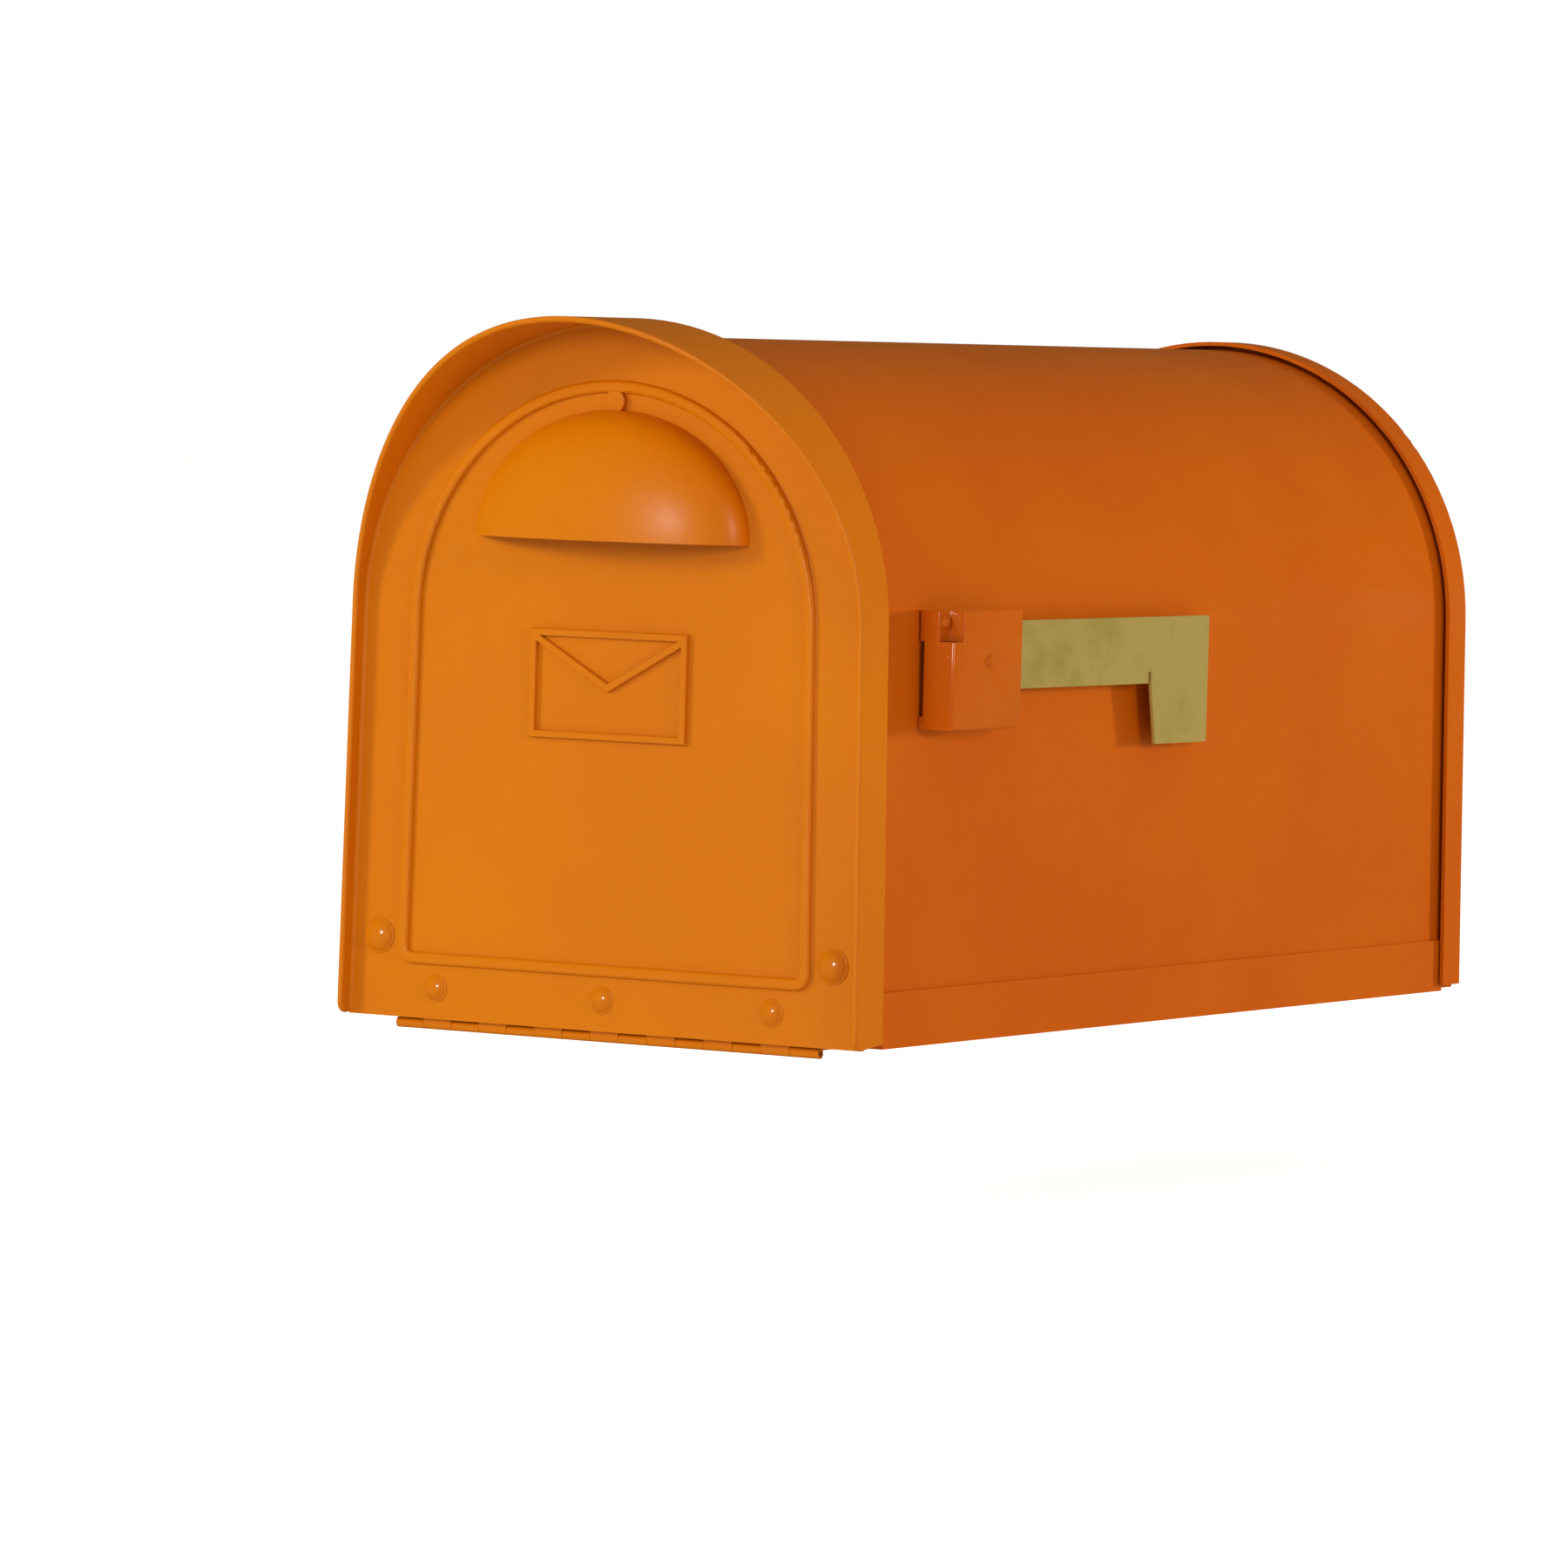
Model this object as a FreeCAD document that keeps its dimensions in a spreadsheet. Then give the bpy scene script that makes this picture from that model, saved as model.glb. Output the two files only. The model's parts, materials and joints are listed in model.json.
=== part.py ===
"""Post-mount mailbox: sheet-metal shell on a floor pan, cast rear cap, and a cast front door
with a visor on a continuous hinge. The door is held level by two slotted stays, and a brass
flag turns in a bracket on the right-hand side.

Frame: +X to the right seen from the front, +Y to the rear, +Z up. The origin is on the
underside of the floor pan, at the centre of the four mounting holes. All lengths in mm.
"""
import FreeCAD, Part
import math
import os
import Sketcher

V = FreeCAD.Vector
C = Sketcher.Constraint
doc = FreeCAD.newDocument("mailbox")
nodes = {}

# ---------------------------------------------------------------- driving dimensions
DIMENSIONS = [
    # door rim and plate
    ("half_width", 127.0, "outer half width of the door rim and of the rear cap at the spring"),
    ("draft", 0.89, "outward lean of every straight side, degrees"),
    ("door_face", -265.0, "y of the front face of the door plate"),
    ("plate_thick", 3.0, "door plate"),
    ("rim_spring", 173.7, "height at which the rim's arch springs"),
    ("rim_wall", 2.5, "wall of the door rim"),
    ("rim_reach", 7.0, "how far the straight sides of the rim stand in front of the plate"),
    ("rim_depth", 15.0, "how far the rim reaches behind the plate's front face"),
    ("rim_rise", 2.3, "rise of the rim's bottom edge towards the rear"),
    ("rim_corner", 5.0, "round of the rim's lower front corner"),
    ("rim_round", 1.0, "round of the rim's front edges"),
    ("cast_round", 0.6, "round of the small edges of the door's casting"),
    ("visor_sweep", 228.0, "radius of the curve that carries the arch forward as a visor"),
    ("door_lift", 0.3, "bottom edge of the door plate"),
    # relief on the door
    ("bead_radius", 98.0, "centre line of the raised bead in its arch"),
    ("bead_width", 5.0, "width of the bead"),
    ("bead_height", 2.3, "height of the bead, boss and emblem"),
    ("bead_bottom", 26.0, "height of the bead's bottom run"),
    ("boss_radius", 5.0, "round boss under the crown of the bead"),
    ("boss_height", 265.5, "height of the boss centre"),
    ("emblem_width", 78.0, "envelope outline, overall width"),
    ("emblem_height", 46.0, "envelope outline, overall height"),
    ("emblem_line", 3.0, "width of the outline's raised line"),
    ("emblem_middle", 146.0, "height of the emblem's centre"),
    # handle scoop
    ("scoop_half", 67.2, "half length of the scoop's lip"),
    ("scoop_rise", 54.6, "height of the scoop above its lip"),
    ("scoop_bulge", 27.0, "how far the lip stands in front of the plate"),
    ("scoop_wall", 3.0, "wall of the scoop"),
    ("lip_height", 207.4, "height of the scoop's lip"),
    # shell, pan and cap
    ("sheet", 1.6, "shell sheet"),
    ("tube_radius", 123.2, "outer radius of the shell's arch"),
    ("tube_spring", 170.0, "height at which the shell's arch springs"),
    ("tube_front", -261.6, "y of the shell's front edge"),
    ("tube_length", 533.6, "length of the shell"),
    ("foot_width", 15.0, "width of the shell's inturned feet"),
    ("pan_thick", 1.2, "floor pan sheet"),
    ("pan_front", -246.5, "y of the front of the pan's side flanges"),
    ("pan_length", 506.0, "length of the pan's side flanges"),
    ("pan_flange", 23.6, "height of the pan's side flanges"),
    ("apron_length", 12.9, "length of the pan's floor in front of its flanges"),
    ("apron_half", 121.0, "half width of the pan's floor in front of its flanges"),
    ("cap_front", 256.0, "y of the front edge of the rear cap"),
    ("cap_length", 19.5, "overall length of the rear cap"),
    ("cap_bottom", 2.9, "height of the rear cap's bottom edge"),
    ("cap_skirt", 1.8, "wall of the skirt outside the shell"),
    ("cap_plate", 3.0, "back plate of the cap"),
    ("cap_round", 4.0, "round along the cap's rear edge"),
    ("cap_foot_r", 8.0, "radius of the foot under the middle of the cap's shelf"),
    ("spigot_wall", 2.5, "wall of the spigot inside the shell"),
    ("spigot_length", 12.0, "length of the spigot"),
    ("spigot_gap", 0.3, "gap between the spigot and the shell"),
    ("shelf_gap", 0.1, "gap between the cap's shelf and the shell's feet"),
    ("shelf_half", 118.0, "half width of the cap's shelf"),
    ("shelf_length", 32.0, "length of the cap's shelf on the shell's feet"),
    ("shelf_thick", 3.0, "thickness of the cap's shelf"),
    # mounting holes in the pan
    ("mount_x", 150.0, "mounting holes, across"),
    ("mount_y", 300.0, "mounting holes, along"),
    ("mount_radius", 3.5, "mounting hole radius"),
    # continuous hinge
    ("axis_y", -259.8, "y of the hinge axis"),
    ("axis_z", -2.35, "z of the hinge axis"),
    ("knuckle_radius", 2.2, "outer radius of the hinge knuckles"),
    ("bore_radius", 1.15, "bore of the knuckles"),
    ("pin_radius", 1.1, "hinge pin"),
    ("hinge_length", 211.0, "length of the hinge"),
    ("leaf_thick", 1.0, "hinge leaves"),
    ("leaf_height", 22.0, "top of the door leaf"),
    ("leaf_depth", 24.0, "length of the body leaf behind the knuckles"),
    ("leaf_inset", 2.5, "gap between the axis and the full width of each leaf"),
    ("knuckle_gap", 0.2, "gap between two knuckles"),
    # bolts through the door
    ("hinge_bolt_x", 83.8, "outer hinge bolts, from the middle"),
    ("hinge_bolt_z", 13.5, "height of the hinge bolts"),
    ("hinge_bolt_r", 2.4, "hinge bolt shank radius"),
    ("hinge_head_r", 5.7, "hinge bolt head radius"),
    ("corner_bolt_x", 113.1, "corner bolts, from the middle"),
    ("corner_bolt_z", 34.5, "height of the corner bolts"),
    ("corner_bolt_r", 3.1, "corner bolt shank radius"),
    ("corner_head_r", 7.5, "corner bolt head radius"),
    # door stays
    ("open_angle", 90.0, "door angle at which the stays come to their end, degrees"),
    ("stay_back", 19.0, "stay pivot behind the plate's front face"),
    ("stay_height", 42.0, "height of the stay pivot"),
    ("guide_angle", 58.0, "direction from hinge axis to guide pin above the floor, degrees"),
    ("stay_face", 117.4, "inner face of the stay, from the middle"),
    ("stay_thick", 2.0, "stays and their brackets"),
    ("stay_half", 5.5, "half width of the stay"),
    ("stay_end", 3.4, "end of the slot's last centre to the centre of the stay's round end"),
    ("stay_gap", 0.4, "gap between a stay and the piece beside it"),
    ("slot_half", 3.0, "half width of the stay's slot"),
    ("ear_half", 7.0, "half height of the ear that carries the stay"),
    ("lug_edge", 8.0, "corner bolt to the inner edge of the lug's foot"),
    ("lug_low", 25.0, "bottom of the lug's foot"),
    ("lug_high", 48.0, "top of the lug's foot"),
    ("guide_half", 6.0, "half width of the guide bracket's upright"),
    ("guide_length", 28.0, "length of the guide bracket's foot"),
    ("guide_step", 9.0, "width of the guide bracket's step over the shell's foot"),
    ("guide_pin_r", 2.2, "guide pin and stay rivet radius"),
    ("pin_head", 1.0, "height of the heads of guide pins and stay rivets"),
    ("pin_head_r", 3.6, "radius of the heads of guide pins and stay rivets"),
    # latch
    ("tongue_top", 276.5, "top of the latch tongue"),
    ("tongue_leg", 18.0, "height of the tongue's leg on the door"),
    ("tongue_flat", 24.0, "length of the tongue's level run"),
    ("tongue_nose", 5.0, "length of the tongue's raised nose"),
    ("catch_low", 278.4, "lowest point of the catch spring"),
    ("catch_front", 5.0, "catch rivets to the front end of the catch spring"),
    ("catch_flat", 6.0, "catch rivets to the first bend of the catch spring"),
    ("catch_dip", 16.0, "catch rivets to the lowest bend of the catch spring"),
    ("catch_rear", 22.0, "catch rivets to the rear end of the catch spring"),
    # flag and its bracket
    ("bracket_front", -219.5, "y of the bracket's front"),
    ("bracket_length", 56.5, "length of the bracket"),
    ("bracket_low", 132.5, "bottom of the bracket"),
    ("bracket_high", 182.5, "top of the bracket"),
    ("bracket_face", 140.6, "outer face of the bracket"),
    ("bracket_seat", 124.0, "plane at which the bracket's body stands on the shell"),
    ("bracket_wall", 2.0, "wall of the bracket"),
    ("bracket_round", 1.2, "round of the bracket's outer edges"),
    ("bracket_toe", 6.0, "round of the bracket's lower rear edge"),
    ("block_length", 12.4, "length of the solid block that takes the bracket's screw"),
    ("block_height", 13.0, "height of that block"),
    ("notch_length", 8.5, "length of the notch in the block"),
    ("slot_low", 5.5, "bottom of the bracket to the bottom of its cable slot"),
    ("slot_depth", 2.5, "depth of that slot in the bracket's front"),
    ("stop_back", 12.0, "pivot to the front of the stop under the flag's arm"),
    ("stop_length", 8.0, "length of that stop"),
    ("notch_floor", 132.9, "floor of the notch that holds the bracket's screw"),
    ("pivot_y", -190.0, "y of the flag pivot"),
    ("pivot_z", 161.0, "z of the flag pivot"),
    ("pivot_radius", 2.4, "flag pivot bolt"),
    ("flag_face", 132.8, "outer face of the flag"),
    ("flag_thick", 1.6, "flag plate"),
    ("flag_up", 16.5, "flag arm above its pivot"),
    ("flag_down", 12.5, "flag arm below its pivot"),
    ("flag_reach", 205.0, "pivot to the rear edge of the flag"),
    ("flag_leg", 51.0, "width of the flag's leg at the arm"),
    ("flag_drop", 39.0, "pivot to the bottom of the flag's leg"),
    ("flag_toe", 5.0, "how far the flag's leg narrows towards its bottom"),
    ("relief_depth", 5.0, "depth of the relief slit in the flag's inner corner"),
    ("relief_width", 2.4, "width of the relief slit"),
    ("collar", 4.6, "radius of the spacers on the flag's pivot"),
    # fits
    ("fit", 0.05, "radial clearance of a shank in its hole"),
]
sheet = doc.addObject("Spreadsheet::Sheet", "dims")
for row, (alias, number, note) in enumerate(DIMENSIONS, start=1):
    sheet.set(f"A{row}", note)
    sheet.set(f"B{row}", str(number))
    sheet.setAlias(f"B{row}", alias)
doc.recompute()


def val(expression):
    """The number that a simple expression in the sheet's aliases gives now."""
    return float(sheet.evalExpression(str(expression).replace("dims.", "")))


def bind(thing, **expressions):
    """Set each property of thing to an expression in the sheet's aliases."""
    for prop, expression in expressions.items():
        thing.setExpression(prop.replace("__", "."), str(expression))
    return thing


def place(thing, x=0, y=0, z=0, axis=None, angle=0):
    """Give thing a placement whose three coordinates are bound expressions."""
    turn = FreeCAD.Rotation(V(*axis), angle) if axis else FreeCAD.Rotation()
    thing.Placement = FreeCAD.Placement(V(0, 0, 0), turn)
    return bind(thing, Placement__Base__x=x, Placement__Base__y=y, Placement__Base__z=z)


# ---------------------------------------------------------------- small fasteners and cutters
OVER = 1.0                              # how far a cutter or a root runs past a face
PAN_RIVETS_Y = (-205, -90, 25, 140)
PAN_RIVET_X = 116.5
PAN_RIVET_R = 2.0
CAP_SCREW_Y = 249
CAP_SCREWS_X = (-116.5, 0, 116.5)
CAP_SCREW_R = 2.1
LEAF_RIVETS_X = (-90, -30, 30, 90)
LEAF_RIVET_Y = -243
LEAF_RIVET_R = 1.6
GUIDE_RIVET_X = 103
GUIDE_RIVETS_Y = (-228, -219)
BRACKET_SCREW_Y = -214.4
BRACKET_SCREW_Z = 177.5
BRACKET_SCREW_R = 1.9
CATCH_RIVET_X = 7
CATCH_RIVET_Y = -255
CATCH_RIVET_R = 1.5
LATCH_SCREW_R = 2.0
LATCH_SCREW_LENGTH = 4.6
HINGE_BOLTS_X = ("-dims.hinge_bolt_x", 0, "dims.hinge_bolt_x")
CORNER_BOLTS_X = ("-dims.corner_bolt_x", "dims.corner_bolt_x")
KNUCKLES = 15
STRIP = 0.8                             # sheet of the latch tongue and its catch
TONGUE_WIDTH = 12
CATCH_WIDTH = 22
BEAD_CREST = 1.6                        # round of the bead's crest
BEAD_CORNERS = {"bead_outside": 7.0, "bead_inside": 2.5}
VISOR = 60                              # room in front of the plate for the visor
SCOOP_ROOT = 0.5                        # how far the scoop is rooted in the door plate
FLAP_DIP = 0.56                         # depth of the envelope's flap over its height
ROOTED = "dims.bead_height + dims.plate_thick / 6"   # relief, rooted in the door plate
SIDES = (-1, 1)
RIVET_HEAD = 1.2
RIVET_TAIL = 1.5                        # radius of a formed rivet head over its shank's
PAN_RIVET_HEAD_R = 3.6
LEAF_RIVET_HEAD_R = 3.0
# radius and height of each domed head, and of each nut
CAP_SCREW_HEAD = (3.8, 1.6)
LATCH_SCREW_HEAD = (3.6, 2.2)
CATCH_RIVET_HEAD = (2.8, 1.2)
PIVOT_HEAD = (2.9, 1.5)
BRACKET_SCREW_HEAD = (2.9, 1.9)
PIVOT_NUT = (4.6, 3.2)
BRACKET_NUT = (4.4, 2.6)
# name, places, height, radius, head radius, dome, packing under the nut, nut radius and height
DOOR_BOLTS = (
    ("hinge_bolt", HINGE_BOLTS_X, "dims.hinge_bolt_z", "dims.hinge_bolt_r",
     "dims.hinge_head_r", 2.6, "dims.leaf_thick", 5.4, 3.2),
    ("corner_bolt", CORNER_BOLTS_X, "dims.corner_bolt_z", "dims.corner_bolt_r",
     "dims.corner_head_r", 3.6, "dims.stay_thick", 6.2, 4.6),
)
THREAD_END = 1.5                        # how far a bolt stands out of its nut
THREAD_INSIDE = 5.0                     # how far the pivot bolt stands inside the shell


# ---------------------------------------------------------------- small building blocks
def box(name, corner, size):
    thing = doc.addObject("Part::Box", name)
    bind(thing, Length=size[0], Width=size[1], Height=size[2])
    return place(thing, *corner)


def rod(name, radius, length, start, axis=None, angle=0):
    thing = doc.addObject("Part::Cylinder", name)
    bind(thing, Radius=radius, Height=length)
    return place(thing, *start, axis=axis, angle=angle)


def rod_x(name, radius, length, start):
    """Cylinder along +X."""
    return rod(name, radius, length, start, axis=(0, 1, 0), angle=90)


def rod_y(name, radius, length, start):
    """Cylinder along +Y."""
    return rod(name, radius, length, start, axis=(1, 0, 0), angle=-90)


def fuse(name, things):
    joined = doc.addObject("Part::MultiFuse", name)
    joined.Shapes = things
    joined.Refine = True
    return joined


def cut(name, base, tools):
    tool = tools[0] if len(tools) == 1 else fuse(name + "_tools", tools)
    result = doc.addObject("Part::Cut", name)
    result.Base = base
    result.Tool = tool
    return result


def common(name, base, tool):
    result = doc.addObject("Part::Common", name)
    result.Base = base
    result.Tool = tool
    return result


def mirror(name, thing):
    """Mirror image of thing across the plane x = 0."""
    result = doc.addObject("Part::Mirroring", name)
    result.Source = thing
    result.Normal = V(1, 0, 0)
    return result


def group(name, things):
    """Separate solids that share one node."""
    result = doc.addObject("Part::Compound", name)
    result.Links = things
    return result


def turned(thing, name, start, axis=None, angle=0):
    """A fastener made along +Z, brought to its place."""
    thing.Label = name
    return place(thing, *start, axis=axis, angle=angle)


def turned_copy(name, thing, start, axis, angle):
    """A turned copy of a piece, so that it can be joined to others in the same frame."""
    holder = doc.addObject("Part::Compound", name)
    holder.Links = [thing]
    return place(holder, *start, axis=axis, angle=angle)


def domed_head(name, radius, height):
    """Spherical cap on the plane z = 0."""
    ball = doc.addObject("Part::Sphere", name)
    rise = val(height)
    reach = val(radius)
    sphere = (reach * reach + rise * rise) / (2 * rise)
    bind(ball, Radius=f"(({radius})^2 + ({height})^2) / (2 * ({height}))")
    ball.Angle1 = math.degrees(math.asin((sphere - rise) / sphere))
    ball.Angle2 = 90
    return place(ball, z=f"({height}) - (({radius})^2 + ({height})^2) / (2 * ({height}))")


def domed_bolt(name, head_radius, head_height, radius, length):
    """Bolt with its head on +Z and its shank running down from z = 0."""
    head = domed_head(name + "_head", head_radius, head_height)
    shank = rod(name + "_shank", radius, length, (0, 0, f"-({length})"))
    return fuse(name, [head, shank])


def hex_nut(name, radius, height, bore):
    """Nut on the plane z = 0, growing along +Z."""
    prism = doc.addObject("Part::Prism", name + "_hex")
    prism.Polygon = 6
    bind(prism, Circumradius=radius, Height=height)
    hole = rod(name + "_bore", bore, f"({height}) + 2 * {OVER}", (0, 0, -OVER))
    return cut(name, prism, [hole])


# ---------------------------------------------------------------- sketches
def plane_of(body, role):
    return next(f for f in body.Origin.OriginFeatures if f.Role == role)


def sketch_in(body, role, name, offset=0):
    """Sketch on one of the body's origin planes, moved along the plane's normal."""
    sketch = body.newObject("Sketcher::SketchObject", name)
    sketch.AttachmentSupport = (plane_of(body, role), "")
    sketch.MapMode = "FlatFace"
    bind(sketch, AttachmentOffset__Base__z=offset)
    return sketch


def new_body(name, y=0):
    body = doc.addObject("PartDesign::Body", name)
    body.Label = name
    bind(body, Placement__Base__y=y)
    return body


def dimension(sketch, name, constraint, expression):
    """Add a named constraint and bind it."""
    index = sketch.addConstraint(constraint)
    sketch.renameConstraint(index, name)
    sketch.setExpression("Constraints." + name, str(expression))


def arch(sketch, radius, spring, bottom):
    """Closed arch: a round crown on two drafted sides and a level bottom."""
    r, up, low = val(radius), val(spring), val(bottom)
    lean = math.radians(val("dims.draft"))
    crown = Part.ArcOfCircle(Part.Circle(V(0, up, 0), V(0, 0, 1), r), lean, math.pi - lean)
    shoulder = V(r * math.cos(lean), up + r * math.sin(lean), 0)
    foot = V(r / math.cos(lean) + (up - low) * math.tan(lean), low, 0)
    mirrored = [V(-p.x, p.y, 0) for p in (shoulder, foot)]
    sketch.addGeometry([
        crown,
        Part.LineSegment(shoulder, foot),
        Part.LineSegment(foot, mirrored[1]),
        Part.LineSegment(mirrored[1], mirrored[0]),
    ], False)
    sketch.addConstraint([
        C("Tangent", 0, 1, 1, 1),
        C("Tangent", 0, 2, 3, 2),
        C("Coincident", 1, 2, 2, 1),
        C("Coincident", 2, 2, 3, 1),
        C("PointOnObject", 0, 3, -2),
        C("Symmetric", 1, 2, 3, 1, -2),
    ])
    dimension(sketch, "radius", C("Radius", 0, r), radius)
    dimension(sketch, "spring", C("DistanceY", -1, 1, 0, 3, up), spring)
    dimension(sketch, "bottom", C("DistanceY", -1, 1, 1, 2, low), bottom)
    dimension(sketch, "lean", C("Angle", 1, lean - math.pi / 2), "dims.draft * 1 deg - 90 deg")


def rectangle(sketch, left, low, width, height):
    """Rectangle by its lower left corner and its size."""
    x, y, wide, high = val(left), val(low), val(width), val(height)
    p = [V(x, y, 0), V(x + wide, y, 0), V(x + wide, y + high, 0), V(x, y + high, 0)]
    first = sketch.GeometryCount
    for here, there in zip(p, p[1:] + p[:1]):
        sketch.addGeometry(Part.LineSegment(here, there), False)
    a, b, c, d = range(first, first + 4)
    sketch.addConstraint([
        C("Coincident", a, 2, b, 1), C("Coincident", b, 2, c, 1),
        C("Coincident", c, 2, d, 1), C("Coincident", d, 2, a, 1),
        C("Horizontal", a), C("Horizontal", c), C("Vertical", b), C("Vertical", d),
    ])
    dimension(sketch, f"width{first}", C("DistanceX", a, 1, a, 2, wide), width)
    dimension(sketch, f"height{first}", C("DistanceY", b, 1, b, 2, high), height)
    dimension(sketch, f"left{first}", C("DistanceX", -1, 1, a, 1, x), left)
    dimension(sketch, f"low{first}", C("DistanceY", -1, 1, a, 1, y), low)


def circle(sketch, x, y, radius):
    """Circle by its centre and radius."""
    cx, cy, r = val(x), val(y), val(radius)
    index = sketch.addGeometry(Part.Circle(V(cx, cy, 0), V(0, 0, 1), r), False)
    dimension(sketch, f"radius{index}", C("Radius", index, r), radius)
    dimension(sketch, f"x{index}", C("DistanceX", -1, 1, index, 3, cx), x)
    dimension(sketch, f"y{index}", C("DistanceY", -1, 1, index, 3, cy), y)


def faces_front(sketch):
    """True for a sketch on the XZ plane, whose normal points to the front."""
    return sketch.AttachmentSupport[0][0].Role == "XZ_Plane"


def pad(body, sketch, length):
    """Pad a sketch towards the rear, the right or upwards."""
    feature = body.newObject("PartDesign::Pad", sketch.Name + "_pad")
    feature.Profile = sketch
    bind(feature, Length=length)
    feature.Reversed = faces_front(sketch)
    doc.recompute()
    return feature


def pocket(body, sketch, length=None):
    """Cut a sketch towards the rear, the right or upwards; right through if it has no length."""
    feature = body.newObject("PartDesign::Pocket", sketch.Name + "_pocket")
    feature.Profile = sketch
    before = body.Shape.Volume
    if length is None:
        feature.Type = "ThroughAll"
        feature.Midplane = True
    else:
        bind(feature, Length=length)
        feature.Reversed = not faces_front(sketch)
    doc.recompute()
    if not body.Shape.Volume < before - 1e-3:
        raise RuntimeError(f"{sketch.Name} cuts nothing")
    return feature


def round_edges(body, name, radius, wanted):
    """Fillet the edges of a body whose bounding box passes the test."""
    base = body.Tip
    picks = [f"Edge{n}" for n, edge in enumerate(body.Shape.Edges, start=1)
             if wanted(edge.BoundBox)]
    rounding = body.newObject("PartDesign::Fillet", name)
    rounding.Base = (base, picks)
    bind(rounding, Radius=radius)
    doc.recompute()


def rounded(name, base, rules):
    """Fillet of base: every edge whose bounding box passes a rule gets that rule's radius."""
    doc.recompute()
    picks = []
    for n, edge in enumerate(base.Shape.Edges, start=1):
        for radius, wanted in rules:
            if wanted(edge.BoundBox):
                picks.append((n, radius, radius))
    result = doc.addObject("Part::Fillet", name)
    result.Base = base
    result.Edges = picks
    return result


# ---------------------------------------------------------------- shell, pan and rear cap
def make_shell():
    body = new_body("shell_tube", y="dims.tube_front")
    outer = sketch_in(body, "XZ_Plane", "shell_outer")
    arch(outer, "dims.tube_radius", "dims.tube_spring", "dims.pan_thick")
    pad(body, outer, "dims.tube_length")
    inner = sketch_in(body, "XZ_Plane", "shell_inner")
    arch(inner, "dims.tube_radius - dims.sheet", "dims.tube_spring", "dims.pan_thick + dims.sheet")
    pocket(body, inner)
    gap = sketch_in(body, "XZ_Plane", "shell_floor_gap")
    half = "(dims.tube_radius - dims.foot_width)"
    rectangle(gap, f"-{half}", f"dims.pan_thick - {OVER}", f"2 * {half}",
              f"dims.sheet + 2 * {OVER}")
    pocket(body, gap)
    holes = sketch_in(body, "XY_Plane", "shell_rivet_holes")
    for side in SIDES:
        for y in PAN_RIVETS_Y:
            circle(holes, side * PAN_RIVET_X, f"{y} - dims.tube_front", PAN_RIVET_R)
        circle(holes, side * PAN_RIVET_X, f"{CAP_SCREW_Y} - dims.tube_front", CAP_SCREW_R)
    pocket(body, holes, f"dims.pan_thick + dims.sheet + {OVER}")
    walls = sketch_in(body, "YZ_Plane", "shell_side_holes")
    circle(walls, "dims.pivot_y - dims.tube_front", "dims.pivot_z", "dims.pivot_radius + dims.fit")
    circle(walls, f"{BRACKET_SCREW_Y} - dims.tube_front", BRACKET_SCREW_Z,
           f"{BRACKET_SCREW_R} + dims.fit")
    pocket(body, walls, "dims.half_width")
    roof = sketch_in(body, "XY_Plane", "shell_roof_holes", offset="dims.tube_spring")
    for side in SIDES:
        circle(roof, side * CATCH_RIVET_X, f"{CATCH_RIVET_Y} - dims.tube_front", CATCH_RIVET_R)
    pocket(body, roof, "dims.half_width")
    return body


def make_pan():
    body = new_body("floor_pan", y="dims.pan_front")
    outer = sketch_in(body, "XZ_Plane", "pan_outer")
    drafted_tray(outer, "dims.tube_radius + dims.pan_thick", 0, "dims.pan_flange")
    pad(body, outer, "dims.pan_length")
    inner = sketch_in(body, "XZ_Plane", "pan_inner")
    drafted_tray(inner, "dims.tube_radius", "dims.pan_thick", f"dims.pan_flange + {OVER}")
    pocket(body, inner)
    apron = sketch_in(body, "XY_Plane", "pan_apron")
    rectangle(apron, "-dims.apron_half", "-dims.apron_length", "2 * dims.apron_half",
              f"dims.apron_length + {OVER}")
    pad(body, apron, "dims.pan_thick")
    holes = sketch_in(body, "XY_Plane", "pan_holes")
    for x in SIDES:
        for y in SIDES:
            circle(holes, f"{x} * dims.mount_x / 2", f"{y} * dims.mount_y / 2 - dims.pan_front",
                   "dims.mount_radius")
    for y in PAN_RIVETS_Y:
        for side in SIDES:
            circle(holes, side * PAN_RIVET_X, f"{y} - dims.pan_front", PAN_RIVET_R)
    for x in CAP_SCREWS_X:
        circle(holes, x, f"{CAP_SCREW_Y} - dims.pan_front", CAP_SCREW_R)
    for x in LEAF_RIVETS_X:
        circle(holes, x, f"{LEAF_RIVET_Y} - dims.pan_front", LEAF_RIVET_R)
    for side in SIDES:
        for y in GUIDE_RIVETS_Y:
            circle(holes, side * GUIDE_RIVET_X, f"{y} - dims.pan_front", LEAF_RIVET_R)
    pocket(body, holes, f"dims.pan_thick + {OVER}")
    return body


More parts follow.
